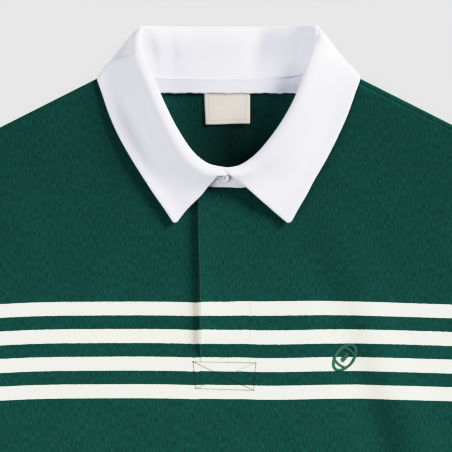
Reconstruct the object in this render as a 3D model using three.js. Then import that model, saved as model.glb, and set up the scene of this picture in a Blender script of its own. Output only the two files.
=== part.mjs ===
// A long-sleeved rugby shirt, laid flat with its front up, its collar folded down and its top button done up.
// Millimetres. X runs to the right and Y towards the collar as seen from above, and Z is up.
// The cut is drawn about the middle of the back neck seam, on the surface that the shirt lies on.
// At the end the whole shirt is moved so that the origin is the middle of its footprint.
// Sides are named as seen from above: the right side of the picture is the wearer's left.

import * as THREE from 'three';
import { mergeVertices } from 'three/addons/utils/BufferGeometryUtils.js';

const { lerp, clamp, smoothstep, degToRad } = THREE.MathUtils;

// Cloth thicknesses, and the space kept between pieces where they are sewn or lie on each other
const JERSEY = 1.4;
const COLLAR_CLOTH = 1.8;
const PLACKET_CLOTH = 2.2;
const RIB_CLOTH = 1.8;
const TAPE_CLOTH = 1.0;
const LABEL_CLOTH = 1.0;
const SEAM = 0.3;

// Body
const HEM_Y = -693;
const SHOULDER_SLOPE = degToRad(26.7);
const NECK_POINT = new THREE.Vector2(82, 28);
const SHOULDER_X = 262;
const FRONT_NECK_Y = -81;
const BACK_NECK_Y = 4;
const NECK_LIFT = 2.6; // the collar's fall lies under the back panel there
const SHOULDER_LOFT = 1.1;
const SEAM_LOFT = 0.4; // the layers' space at a seamed edge
const SHOULDER_WRAP = { left: 3.0, right: 4.4 }; // how far the back panel comes over the shoulder
const SHOULDER_LEAN = 2.2; // the shoulders lie this far to the right of the hem

// Placket, between its folded edge on the left and its stitched edge on the right
const PLACKET = { left: -23, right: 21.3, top: -81, bottom: -253, lift: 1.0 };
const OPENING_HALF_WIDTH = 10;
const OPENING_BOTTOM = -236;

// Sleeves and cuffs
const CUFF = { length: 70, width: 96, ribs: 24, ribHeight: 0.5, loft: 2.2 };

const BUTTON = { x: -3, upTheStand: 0.46, diameter: 12.4, thickness: 2.2, rim: 0.4 };
const LABEL = { left: -18.3, right: 20.4, top: 1.5, bottom: -26.6 };
const TAPE = { foot: 0.6, above: 6.8 };

// The body's edge on the wearer's side: one row for each section of the side seam, hem to underarm.
// Inner is the section's end on the centre line, and loft is the air between the layers at the centre.
const sideSections = [
  { place: 'hem', x: 280, y: HEM_Y, innerY: HEM_Y, loft: 0.9 },
  { place: 'hip', x: 284, y: -610, innerY: -612, loft: 1.5 },
  { place: 'waist', x: 283, y: -500, innerY: -502, loft: 2.0 },
  { place: 'rib', x: 286, y: -390, innerY: -394, loft: 2.3 },
  { place: 'underarm', x: 290, y: -312, innerY: -318, loft: 2.4 },
];

// The armhole, underarm to shoulder tip, seen flat
const armholeSections = [
  { place: 'underarm', x: 290, y: -312, loft: SEAM_LOFT },
  { place: 'lower curve', x: 266, y: -262, loft: 1.3 },
  { place: 'notch', x: 254, y: -196, loft: 1.8 },
  { place: 'upper', x: 254, y: -128, loft: 1.5 },
  { place: 'shoulder tip', x: SHOULDER_X, y: shoulderY(SHOULDER_X), loft: SHOULDER_LOFT },
];

// The neck edges of the two body panels, centre to neck point
const frontNeck = [
  { place: 'centre front', x: 0, y: FRONT_NECK_Y },
  { place: 'button stand', x: 18, y: -79.4 },
  { place: 'lower curve', x: 47, y: -62 },
  { place: 'middle', x: 68, y: -34 },
  { place: 'upper', x: 79, y: -4 },
  { place: 'neck point', x: NECK_POINT.x, y: NECK_POINT.y },
];
const backNeck = [
  { place: 'centre back', x: 0, y: BACK_NECK_Y },
  { place: 'flat of the back', x: 40, y: BACK_NECK_Y + 0.4 },
  { place: 'curve', x: 66, y: 9 },
  { place: 'neck point', x: NECK_POINT.x, y: NECK_POINT.y },
];

// The sleeve, armhole to wrist: its folded top edge and its seamed under edge, seen flat
const sleeveSections = [
  { place: 'armhole', topX: SHOULDER_X, topY: shoulderY(SHOULDER_X), underX: 290, underY: -312, loft: 1.8 },
  { place: 'cap', topX: 302, topY: -86, underX: 318, underY: -331, loft: 2.2 },
  { place: 'upper arm', topX: 372, topY: -137, underX: 368, underY: -361, loft: 2.4 },
  { place: 'elbow', topX: 484, topY: -234, underX: 444, underY: -399, loft: 2.2 },
  { place: 'forearm', topX: 598, topY: -334, underX: 524, underY: -439, loft: 1.9 },
  { place: 'above cuff', topX: 648, topY: -378, underX: 580, underY: -465, loft: 1.9 },
  { place: 'cuff seam', topX: 667.4, topY: -403.4, underX: 605.6, underY: -476.9, loft: 1.6 },
];

// The collar, centre front to centre back, on one side: its seam at the neck, the fold's inner edge, the place
// where the fall flattens or turns under the shoulder, and its outer edge. Crown is how far the stand bulges,
// and roll how far the cloth rises past the fold in the distance over. Leans move both sides to the right.
const collarSections = [
  { place: 'centre front', seam: [0.35, -79.6, 7.0], fold: [0.35, -64.6, 15.4], turn: [38, -99.5, 9.4],
    edge: [48.6, -110.4, 9.4], crown: 0, roll: 6.4, over: 6.6, seamLean: 12.3, foldLean: 0.8, edgeLean: 5.2 },
  { place: 'button stand', seam: [17, -77.6, 6.8], fold: [10, -62.6, 16.2], turn: [46.5, -89, 9.4],
    edge: [56.4, -97.4, 9.6], crown: 0, roll: 5.6, over: 6.4, seamLean: 4, foldLean: -0.3, edgeLean: 4.5 },
  { place: 'quarter', seam: [32, -70.6, 6.6], fold: [20, -57.2, 17.8], turn: [54, -79, 9.4],
    edge: [64, -85.6, 9.7], crown: 0, roll: 3.6, over: 6.2, seamLean: 1, foldLean: -0.6, edgeLean: 3.8 },
  { place: 'lower curve', seam: [45.8, -60.4, 6.6], fold: [30, -48, 20.4], turn: [61, -67.6, 9.4],
    edge: [71.4, -73, 9.8], crown: 0, roll: 3.2, over: 6, seamLean: 0, foldLean: -0.3, edgeLean: 3 },
  { place: 'middle', seam: [58, -46.2, 6.6], fold: [42, -31.6, 23.6], turn: [70, -51.2, 9.6],
    edge: [81.6, -56.2, 9.8], crown: 0, roll: 2.8, over: 5.8, seamLean: 0, foldLean: 0.8, edgeLean: 2.6 },
  { place: 'upper curve', seam: [67, -31, 6.6], fold: [51.6, -15, 25.6], turn: [80.5, -30.8, 9.8],
    edge: [92.4, -36, 9.8], crown: 0, roll: 2.4, over: 5.6, seamLean: 0, foldLean: 1.7, edgeLean: 2 },
  { place: 'side', seam: [74.2, -12, 6.8], fold: [59.4, 1.8, 26.4], turn: [89, -12.4, 10.4],
    edge: [100.6, -17.4, 9.8], crown: 0, roll: 2.2, over: 5.4, seamLean: 0, foldLean: 2, edgeLean: 2 },
  { place: 'above side', seam: [78, 4, 7.4], fold: [66.2, 19.4, 25.8], turn: [97.4, 5.8, 11.6],
    edge: [107.4, 1.8, 9.6], crown: 0, roll: 1.8, over: 5, seamLean: 0, foldLean: 1.5, edgeLean: 2.1 },
  { place: 'shoulder', seam: [79, 14, 7.6], fold: [70.6, 31, 24.2], turn: [102.4, 22.6, 10.4],
    edge: [112.6, 14.6, 8.0], crown: 0, roll: 1.4, over: 4.8, seamLean: 0, foldLean: 1.4, edgeLean: 2.2 },
  { place: 'under the shoulder', seam: [79.4, 19, 7.6], fold: [72.8, 37, 22.2], turn: [99.2, 28.4, 4.6],
    edge: [111.4, 15.2, 1.0], crown: 0.2, roll: 1, over: 4.4, seamLean: 0, foldLean: 1.4, edgeLean: 2.2 },
  { place: 'turn of the fall', seam: [79.2, 22, 7.2], fold: [74.6, 43, 19.6], turn: [92.6, 36.8, 2.6],
    edge: [100.5, 8.8, 1.0], crown: 0.6, roll: 0.4, over: 4, seamLean: 0, foldLean: 1.6, edgeLean: 1.8 },
  { place: 'corner', seam: [76.4, 20, 6.5], fold: [75.8, 51.8, 12.6], turn: [84.4, 46.8, 3.0],
    edge: [90, 5, 1.0], crown: 0.4, roll: 0.0, over: 4.4, seamLean: 0, foldLean: 3.1, edgeLean: 1.2 },
  { place: 'end of the back', seam: [70.4, 12.8, 5.8], fold: [73.2, 56.2, 7.2], turn: [69.4, 50, 1.4],
    edge: [77, 2.4, 1.0], crown: 2.4, roll: -4.2, over: 2.8, seamLean: 0, foldLean: 3.1, edgeLean: 0 },
  { place: 'back curve', seam: [56, 7.6, 5.0], fold: [52, 56.2, 5.6], turn: [50, 48, 1.0],
    edge: [57, 1.2, 1.0], crown: 4.8, roll: -4.2, over: 3.6, seamLean: 0, foldLean: 2, edgeLean: 0 },
  { place: 'back', seam: [30, 6.5, 4.8], fold: [27, 56.2, 5.0], turn: [27, 48, 1.0],
    edge: [30, 0.8, 1.0], crown: 5.0, roll: -3.9, over: 3.6, seamLean: 0, foldLean: 1, edgeLean: 0 },
  { place: 'centre back', seam: [0, 6.2, 4.8], fold: [0, 56.2, 5.0], turn: [0, 48, 1.0],
    edge: [0, 0.8, 1.0], crown: 5.0, roll: -3.9, over: 3.6, seamLean: 0, foldLean: 0, edgeLean: 0 },
];

// The largest soft ridges in the upper layer, from one end to the other
const creases = [
  { place: 'right chest', from: [170, -190], to: [158, -330], width: 34, height: 1.3 },
  { place: 'below the placket', from: [-42, -250], to: [-56, -420], width: 28, height: 1.2 },
  { place: 'centre belly', from: [40, -300], to: [62, -560], width: 36, height: 1.3 },
  { place: 'left belly', from: [-150, -360], to: [-128, -600], width: 38, height: 1.4 },
  { place: 'right hip', from: [190, -420], to: [170, -640], width: 34, height: 1.2 },
  { place: 'left underarm', from: [-268, -300], to: [-176, -226], width: 22, height: 1.3 },
  { place: 'right underarm', from: [268, -306], to: [186, -246], width: 22, height: 1.3 },
  { place: 'left sleeve, upper', from: [-300, -300], to: [-360, -180], width: 22, height: 1.4 },
  { place: 'left sleeve, elbow', from: [-410, -370], to: [-470, -250], width: 20, height: 1.6 },
  { place: 'left sleeve, forearm', from: [-520, -420], to: [-566, -330], width: 18, height: 1.4 },
  { place: 'right sleeve, upper', from: [312, -286], to: [366, -196], width: 24, height: 1.3 },
  { place: 'right sleeve, elbow', from: [428, -376], to: [462, -240], width: 20, height: 1.6 },
  { place: 'right sleeve, forearm', from: [506, -410], to: [578, -344], width: 18, height: 1.4 },
];

// How finely the cloth is divided
const SIDE_ROWS = 12;
const ARMHOLE_ROWS = 16;
const ACROSS_FRONT = [0, 0.05, 0.14, 0.26, 0.4, 0.55, 0.7, 0.82, 0.91, 0.97, 1];
const ACROSS_BACK = [0, 0.2, 0.45, 0.7, 0.9, 1];
const SLEEVE_ROWS = 10;
const COLLAR_ROWS = 60;
const COLLAR_STEPS = [0, 0.15, 0.29, 0.36, 0.43, 0.5, 0.58, 0.68, 0.78, 0.88, 1];
const TURN_STEPS = 3;

function shoulderY(x) {
  return NECK_POINT.y - (x - NECK_POINT.x) * Math.tan(SHOULDER_SLOPE);
}

// A curve in plan through a table's x and y
function planCurve(table) {
  const points = table.map(({ x, y }) => new THREE.Vector3(x, y, 0));
  return new THREE.CatmullRomCurve3(points, false, 'centripetal');
}

// A single column of a table, as a smooth function of the share of the way down it
function column(table, name) {
  const points = table.map((row, i) => new THREE.Vector3(i, row[name], 0));
  const curve = new THREE.CatmullRomCurve3(points, false, 'catmullrom', 0.5);
  return (share) => curve.getPoint(clamp(share, 0, 1)).y;
}

// Rows of points as a sheet of triangles
function sheet(rows) {
  const width = rows[0].length;
  const index = [];
  for (let j = 0; j + 1 < rows.length; j++) {
    for (let i = 0; i + 1 < width; i++) {
      const a = j * width + i;
      const b = a + 1;
      const c = a + width;
      const d = c + 1;
      index.push(a, b, d, a, d, c);
    }
  }
  return new THREE.BufferGeometry().setFromPoints(rows.flat()).setIndex(index);
}

// Several sheets as one, with the points that they share joined
function joined(sheets) {
  const points = [];
  const index = [];
  for (const one of sheets) {
    const place = one.getAttribute('position');
    const start = points.length;
    for (let i = 0; i < place.count; i++) points.push(new THREE.Vector3().fromBufferAttribute(place, i));
    for (const i of one.index.array) index.push(start + i);
  }
  return mergeVertices(new THREE.BufferGeometry().setFromPoints(points).setIndex(index), 1e-3);
}

// A closed wall of cloth: a sheet's points moved out and in along their normals, with a rim on every free edge.
// Relief gives the extra height of a point on the outer face.
function wall(middle, thickness, relief = () => 0) {
  const cloth = mergeVertices(middle, 1e-3);
  cloth.computeVertexNormals();
  const place = cloth.getAttribute('position');
  const normal = cloth.getAttribute('normal');
  const count = place.count;
  const points = [];
  for (const face of [1, -1]) {
    for (let i = 0; i < count; i++) {
      const out = new THREE.Vector3().fromBufferAttribute(normal, i);
      const point = new THREE.Vector3().fromBufferAttribute(place, i);
      const extra = face > 0 ? relief(point, out) : 0;
      points.push(point.addScaledVector(out, (face * thickness) / 2 + extra));
    }
  }
  const faces = [];
  const directed = new Set();
  const corners = cloth.index.array;
  for (let f = 0; f < corners.length; f += 3) {
    const triangle = [corners[f], corners[f + 1], corners[f + 2]];
    if (new Set(triangle).size < 3) continue;
    const [a, b, c] = triangle;
    faces.push(a, b, c, c + count, b + count, a + count);
    for (const [from, to] of [[a, b], [b, c], [c, a]]) directed.add(`${from},${to}`);
  }
  for (const edge of directed) {
    const [a, b] = edge.split(',').map(Number);
    if (!directed.has(`${b},${a}`)) faces.push(b, a, a + count, b, a + count, b + count);
  }
  return new THREE.BufferGeometry().setFromPoints(points).setIndex(faces);
}

// A sheet with its shoulders moved over, as the shirt lies. The neck edge stays where the collar holds it.
function settled(cloth) {
  const place = cloth.getAttribute('position');
  for (let i = 0; i < place.count; i++) {
    const x = place.getX(i);
    const share = smoothstep(Math.abs(x), 70, 112) * smoothstep(place.getY(i), -300, -60);
    place.setX(i, x + SHOULDER_LEAN * share);
  }
  return cloth;
}

// The extra height that the creases give the upper layer at a place
function creaseHeight(x, y) {
  let height = 0;
  for (const { from, to, width, height: top } of creases) {
    const dx = to[0] - from[0];
    const dy = to[1] - from[1];
    const share = clamp(((x - from[0]) * dx + (y - from[1]) * dy) / (dx * dx + dy * dy), 0, 1);
    const away = Math.hypot(x - from[0] - share * dx, y - from[1] - share * dy);
    if (away < width) {
      const taper = Math.sin(Math.PI * share);
      height += top * taper * 0.5 * (1 + Math.cos((Math.PI * away) / width));
    }
  }
  return height;
}

// The middle of the back panel's cloth, flat on the surface but for the neck
function backHeight(y) {
  return JERSEY / 2 + NECK_LIFT * smoothstep(y, -70, 9);
}

// The middle of the front panel's cloth, over the back panel and the air between them
function frontHeight(x, y, loft) {
  return backHeight(y) + JERSEY + SEAM + loft + creaseHeight(x, y);
}

const armhole = planCurve(armholeSections);
const armholeLoft = column(armholeSections, 'loft');

// The sections of one half of a body panel, from the centre or neck edge to the side or armhole.
// The first are level, and those at the armhole fan out until the last is the shoulder seam.
function panelSections(neckTable) {
  const side = planCurve(sideSections);
  const innerY = column(sideSections, 'innerY');
  const centreLoft = column(sideSections, 'loft');
  const sections = [];
  for (let j = 0; j < SIDE_ROWS; j++) {
    const share = j / SIDE_ROWS;
    sections.push({
      inner: new THREE.Vector3(0, innerY(share), 0),
      outer: side.getPoint(share),
      innerLoft: centreLoft(share),
      outerLoft: SEAM_LOFT,
    });
  }
  const neck = planCurve(neckTable);
  const last = sideSections[sideSections.length - 1];
  const straight = neckTable[0].y - last.innerY;
  const total = straight + neck.getLength();
  for (let j = 0; j <= ARMHOLE_ROWS; j++) {
    const share = j / ARMHOLE_ROWS;
    const way = share * total;
    const inner = way < straight
      ? new THREE.Vector3(0, last.innerY + way, 0)
      : neck.getPointAt(Math.min(1, (way - straight) / neck.getLength()));
    sections.push({
      inner,
      outer: armhole.getPoint(share),
      innerLoft: lerp(last.loft, SHOULDER_LOFT, smoothstep(share, 0.5, 1)),
      outerLoft: armholeLoft(share),
    });
  }
  return sections;
}

// Moves a panel's shoulder seam in from the shoulder's edge
function insetShoulder(section, inset) {
  const out = new THREE.Vector3(Math.sin(SHOULDER_SLOPE), Math.cos(SHOULDER_SLOPE), 0);
  section.inner.addScaledVector(out, -inset);
  section.outer.addScaledVector(out, -inset);
  return section;
}

function frontHalf(side) {
  const wrap = side < 0 ? SHOULDER_WRAP.left : SHOULDER_WRAP.right;
  const sections = panelSections(frontNeck);
  insetShoulder(sections[sections.length - 1], wrap + SEAM / 2);
  const rows = sections.map(({ inner, outer, innerLoft, outerLoft }) => {
    const open = smoothstep(inner.y, OPENING_BOTTOM - 4, OPENING_BOTTOM + 4);
    inner.x = Math.max(inner.x, OPENING_HALF_WIDTH * open);
    return ACROSS_FRONT.map((u) => {
      const x = side * lerp(inner.x, outer.x, u);
      const y = lerp(inner.y, outer.y, u);
      const loft = lerp(outerLoft, innerLoft, 1 - u ** 4);
      return new THREE.Vector3(x, y, frontHeight(x, y, loft));
    });
  });
  return sheet(side < 0 ? rows.map((row) => row.reverse()) : rows);
}

function front() {
  return wall(settled(joined([frontHalf(-1), frontHalf(1)])), JERSEY);
}

// The back panel lies on the surface. Past each shoulder it turns up and comes over to the front panel's seam.
function backHalf(side) {
  const wrap = side < 0 ? SHOULDER_WRAP.left : SHOULDER_WRAP.right;
  const radius = (JERSEY + SEAM + SHOULDER_LOFT) / 2;
  const out = new THREE.Vector3(side * Math.sin(SHOULDER_SLOPE), Math.cos(SHOULDER_SLOPE), 0);
  const sections = panelSections(backNeck);
  insetShoulder(sections[sections.length - 1], radius + JERSEY / 2);
  const rows = sections.map(({ inner, outer }) =>
    ACROSS_BACK.map((u) => {
      const y = lerp(inner.y, outer.y, u);
      return new THREE.Vector3(side * lerp(inner.x, outer.x, u), y, backHeight(y));
    }),
  );
  const seam = rows[rows.length - 1];
  for (let step = 1; step <= TURN_STEPS + 1; step++) {
    const turn = Math.PI * Math.min(1, step / TURN_STEPS);
    const over = step > TURN_STEPS ? wrap - SEAM / 2 - radius - JERSEY / 2 : 0;
    rows.push(seam.map((point) =>
      point.clone().addScaledVector(out, radius * Math.sin(turn) - over).setZ(point.z + radius * (1 - Math.cos(turn))),
    ));
  }
  return sheet(side < 0 ? rows.map((row) => row.reverse()) : rows);
}

function back() {
  return wall(settled(joined([backHalf(-1), backHalf(1)])), JERSEY);
}

// The share of a flattened tube's width that each rounded edge takes
function edgeShare(width, lower, upper) {
  return ((upper - lower) / 2 + lower) / width;
}

// One ring of a flattened tube: along the lower layer, round the top edge, back along the upper layer and
// round the under edge. Place gives the plan, inward the way into the tube at each edge, and height the upper
// layer's middle.
function flatRing({ place, inward, height, lower, steps }) {
  const ring = [];
  const turn = (share) => {
    const edge = place(share);
    const radius = (height(share, edge) - lower) / 2;
    const middle = edge.clone().addScaledVector(inward[share], radius + lower);
    for (let step = 0; step <= TURN_STEPS; step++) {
      const angle = (Math.PI * step) / TURN_STEPS;
      const rise = share === 0 ? 1 + Math.cos(angle) : 1 - Math.cos(angle);
      ring.push(middle.clone().addScaledVector(inward[share], -radius * Math.sin(angle)).setZ(lower + radius * rise));
    }
  };
  const margin = edgeShare(place(0).distanceTo(place(1)), lower, height(0, place(0)));
  const flat = (i) => lerp(margin, 1 - margin, i / steps);
  for (let i = 1; i < steps; i++) ring.push(place(flat(i)).setZ(lower));
  turn(1);
  for (let i = steps - 1; i > 0; i--) {
    const point = place(flat(i));
    ring.push(point.setZ(height(flat(i), point)));
  }
  turn(0);
  ring.push(ring[0].clone());
  return ring;
}

// A sleeve, folded along its top edge and seamed along its under edge
function sleeve(side) {
  const top = planCurve(sleeveSections.map(({ topX, topY }) => ({ x: topX, y: topY })));
  const under = planCurve(sleeveSections.map(({ underX, underY }) => ({ x: underX, y: underY })));
  const loft = column(sleeveSections, 'loft');
  const armholeChord = new THREE.LineCurve3(armhole.getPoint(0), armhole.getPoint(1));
  const rows = [];
  for (let j = 0; j <= SLEEVE_ROWS; j++) {
    const share = j / SLEEVE_ROWS;
    const hold = 1 - smoothstep(share, 0, 0.4);
    const place = (q) => {
      const straight = under.getPoint(share).lerp(top.getPoint(share), q);
      const curved = armhole.getPoint(q).sub(armholeChord.getPoint(q)).multiplyScalar(hold);
      const point = straight.add(curved).setZ(0);
      if (j === 0) point.x += 2 * SEAM;
      point.x *= side;
      return point;
    };
    const height = (q, point) => {
      const puff = lerp(lerp(SHOULDER_LOFT, loft(share), Math.sin(Math.PI * q) ** 0.6), armholeLoft(q), hold ** 3);
      return JERSEY / 2 + JERSEY + SEAM + puff + creaseHeight(point.x, point.y);
    };
    const across = (tangent, way) => new THREE.Vector3(-tangent.y * way * side, tangent.x * way, 0).normalize();
    const inward = [across(under.getTangent(share), 1), across(top.getTangent(share), -1)];
    rows.push(flatRing({ place, inward, height, lower: JERSEY / 2, steps: ARMHOLE_ROWS }));
  }
  return wall(settled(sheet(side < 0 ? rows : rows.reverse())), JERSEY);
}

// A ribbed cuff: a flattened tube whose ribs stand on its upper face
function cuff(side) {
  const wrist = sleeveSections[sleeveSections.length - 1];
  const top = new THREE.Vector3(wrist.topX, wrist.topY, 0);
  const under = new THREE.Vector3(wrist.underX, wrist.underY, 0);
  const across = top.clone().sub(under).normalize();
  const down = new THREE.Vector3(across.y, -across.x, 0);
  const lower = RIB_CLOTH / 2;
  const steps = CUFF.ribs * 2;
  const rows = [2 * SEAM, 5, CUFF.length - 5, CUFF.length].map((way) => {
    const waist = CUFF.width * (1 - 0.03 * Math.sin((Math.PI * way) / CUFF.length));
    const centre = top.clone().add(under).multiplyScalar(0.5).addScaledVector(down, way);
    const place = (q) => {
      const point = centre.clone().addScaledVector(across, waist * (q - 0.5));
      point.x *= side;
      return point;
    };
    const height = (q) => lower + RIB_CLOTH + SEAM + lerp(SHOULDER_LOFT, CUFF.loft, Math.sin(Math.PI * q) ** 0.5);
    const inwardAcross = across.clone().setX(across.x * side);
    return flatRing({ place, inward: [inwardAcross, inwardAcross.clone().negate()], height, lower, steps });
  });
  const margin = edgeShare(CUFF.width, lower, lower + RIB_CLOTH + SEAM + SHOULDER_LOFT);
  const relief = (point, out) => {
    const share = point.clone().setX(point.x * side).sub(under).dot(across) / CUFF.width;
    const rib = Math.round(((share - margin) / (1 - 2 * margin)) * steps);
    return out.z > 0.5 && rib % 2 === 0 ? CUFF.ribHeight : 0;
  };
  return wall(sheet(side < 0 ? rows : rows.reverse()), RIB_CLOTH, relief);
}

// The collar's sections all the way round, from the left end at the centre front to the right end
function collarRound() {
  const mirrored = (row, side) => {
    const move = ([x, y, z], lean) => [side * x + lean, y, z];
    const { crown, roll, over, seamLean, foldLean, edgeLean } = row;
    return {
      seam: move(row.seam, seamLean),
      fold: move(row.fold, foldLean),
      turn: move(row.turn, (foldLean + edgeLean) / 2),
      edge: move(row.edge, edgeLean),
      shape: [crown, roll, over],
    };
  };
  const left = collarSections.map((row) => mirrored(row, -1));
  const right = collarSections.slice(0, -1).map((row) => mirrored(row, 1));
  return [...left, ...right.reverse()];
}

const collarRows = collarRound();
const collarCurves = Object.fromEntries(['seam', 'fold', 'turn', 'edge', 'shape'].map((name) => {
  const points = collarRows.map((row) => new THREE.Vector3(...row[name]));
  return [name, new THREE.CatmullRomCurve3(points, false, 'catmullrom', 0.5)];
}));

// The collar's section at a share of the way round the neck, from the seam up the stand, over the fold and
// down the fall
function collarSection(round) {
  const [seam, fold, turn, edge, shape] = Object.values(collarCurves).map((curve) => curve.getPoint(round));
  const up = (share) => seam.clone().lerp(fold, share).add(new THREE.Vector3(0, 0, shape.x * share ** 1.5));
  const crest = turn.clone().sub(fold).setZ(0).setLength(shape.z).add(fold).setZ(fold.z + shape.y);
  const points = [seam, up(0.45), up(0.84), fold, crest, crest.clone().lerp(turn, 0.5), turn, edge];
  return new THREE.CatmullRomCurve3(points, false, 'centripetal');
}

function collarPoint(round, down) {
  const point = collarSection(round).getPoint(down);
  return point.setZ(Math.max(point.z, COLLAR_CLOTH / 2));
}

function collar() {
  const rows = [];
  for (let j = 0; j <= COLLAR_ROWS; j++) {
    rows.push(COLLAR_STEPS.map((down) => collarPoint(j / COLLAR_ROWS, down)));
  }
  return wall(sheet(rows), COLLAR_CLOTH);
}

// The tape that covers the back neck seam, on the inside of the stand and the top of the back panel
function neckTape() {
  const rows = [];
  const steps = 20;
  for (let i = 0; i <= steps; i++) {
    const round = lerp(0.4, 0.6, i / steps);
    const seam = collarPoint(round, 0);
    const up = collarPoint(round, 0.1).sub(seam).normalize();
    const away = COLLAR_CLOTH / 2 + 2 * SEAM + TAPE_CLOTH / 2;
    const foot = seam.clone().setY(TAPE.foot);
    foot.z = backHeight(foot.y) + JERSEY / 2 + LABEL_CLOTH + 2 * SEAM + TAPE_CLOTH / 2;
    const lift = new THREE.Vector3(0, -up.z, up.y).normalize().multiplyScalar(away);
    rows.push([foot, seam.clone().add(lift), seam.clone().addScaledVector(up, TAPE.above).add(lift)]);
  }
  return wall(sheet(rows.map((row) => row.reverse())), TAPE_CLOTH);
}

// The woven label, hanging from under the tape on the inside of the back
function neckLabel() {
  const rows = [];
  const steps = 6;
  for (let j = 0; j <= steps; j++) {
    const y = lerp(LABEL.bottom, LABEL.top, j / steps);
    const z = backHeight(y) + JERSEY / 2 + SEAM + LABEL_CLOTH / 2;
    rows.push([new THREE.Vector3(LABEL.left, y, z), new THREE.Vector3(LABEL.right, y, z)]);
  }
  return wall(sheet(rows), LABEL_CLOTH);
}

// The height of the front panel's upper face near the centre line
function frontFace(x, y) {
  return frontHeight(x, y, sideSections[sideSections.length - 1].loft) + JERSEY / 2;
}

// The upper placket, a folded strip over the opening, whose free edge stands up a little above its box stitch
function upperPlacket() {
  const rows = [];
  const steps = 16;
  for (let j = 0; j <= steps; j++) {
    const y = lerp(PLACKET.bottom, PLACKET.top, j / steps);
    const lift = PLACKET.lift * smoothstep(y, PLACKET.bottom + 20, PLACKET.bottom + 60);
    rows.push([0, 0.06, 0.25, 0.5, 0.75, 1].map((share) => {
      const x = lerp(PLACKET.left, PLACKET.right, share);
      return new THREE.Vector3(x, y, frontFace(x, y) + SEAM + PLACKET_CLOTH / 2 + lift * (1 - share) ** 2);
    }));
  }
  return wall(sheet(rows), PLACKET_CLOTH);
}

// The under placket, which fills the opening in the front panel
function underPlacket() {
  const rows = [];
  const steps = 12;
  const half = OPENING_HALF_WIDTH - 2 * SEAM;
  for (let j = 0; j <= steps; j++) {
    const y = lerp(OPENING_BOTTOM + 16, PLACKET.top - 1, j / steps);
    rows.push([-1, 0, 1].map((side) => new THREE.Vector3(side * half, y, frontFace(side * half, y) - JERSEY / 2)));
  }
  return wall(sheet(rows), JERSEY);
}

// A round button with a raised rim, turned about its own axis
function button() {
  const { diameter, thickness, rim } = BUTTON;
  const radius = diameter / 2;
  const profile = [
    [0, -thickness / 2],
    [radius * 0.7, -thickness / 2],
    [radius, -thickness * 0.1],
    [radius * 0.97, thickness * 0.32],
    [radius * 0.88, thickness / 2],
    [radius * 0.74, thickness / 2 - rim * 0.3],
    [radius * 0.6, thickness / 2 - rim],
    [0, thickness / 2 - rim],
  ];
  const turned = new THREE.LatheGeometry(profile.map(([r, y]) => new THREE.Vector2(r, y)), 28);
  turned.rotateX(Math.PI / 2);
  return turned;
}

const colours = {
  green: '#14463d',
  white: '#eeedf2',
  tape: '#e6e7ee',
  cream: '#d9cfc6',
  pearl: '#dcdcd8',
};

function piece(name, geometry, colour, roughness = 0.9) {
  geometry.deleteAttribute('normal');
  geometry.deleteAttribute('uv');
  const flat = geometry.toNonIndexed();
  flat.computeVertexNormals();
  const mesh = new THREE.Mesh(flat, new THREE.MeshStandardMaterial({ color: colour, roughness, metalness: 0 }));
  mesh.name = name;
  return mesh;
}

const shirt = new THREE.Group();
shirt.add(
  piece('back', back(), colours.green),
  piece('front', front(), colours.green),
  piece('sleeve_left', sleeve(-1), colours.green),
  piece('sleeve_right', sleeve(1), colours.green),
  piece('cuff_left', cuff(-1), colours.green),
  piece('cuff_right', cuff(1), colours.green),
  piece('placket_under', underPlacket(), colours.green),
  piece('placket_upper', upperPlacket(), colours.green),
  piece('collar', collar(), colours.white, 0.8),
  piece('neck_tape', neckTape(), colours.tape, 0.85),
  piece('neck_label', neckLabel(), colours.cream, 0.8),
);

// The top button lies on the outside of the stand
const foot = collarPoint(0, 0);
const onStand = collarPoint(0, 0.43 * BUTTON.upTheStand);
const slope = Math.atan2(onStand.z - foot.z, onStand.y - foot.y);
const proud = COLLAR_CLOTH / 2 + SEAM + BUTTON.thickness / 2;
const topButton = piece('button', button(), colours.pearl, 0.3);
topButton.position.set(BUTTON.x, onStand.y - proud * Math.sin(slope), onStand.z + proud * Math.cos(slope));
topButton.rotation.x = slope;
shirt.add(topButton);

// The origin goes to the middle of the shirt's footprint
const footprint = new THREE.Box3().setFromObject(shirt);
const middle = footprint.getCenter(new THREE.Vector3());
shirt.position.set(-middle.x, -middle.y, -footprint.min.z);

const part = new THREE.Group();
part.add(shirt);

export default part;
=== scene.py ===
"""The looks of a long-sleeved rugby shirt, laid flat with its front up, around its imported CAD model.

Lengths are in millimetres until a mesh is made. The cut is drawn about the middle of the back neck seam, as in
the part's source, and a piece's "cloth" UV map holds its flat cut, also in millimetres.
Sides are named as seen from above: the right side of the picture is the wearer's left.
"""
import math

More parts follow.
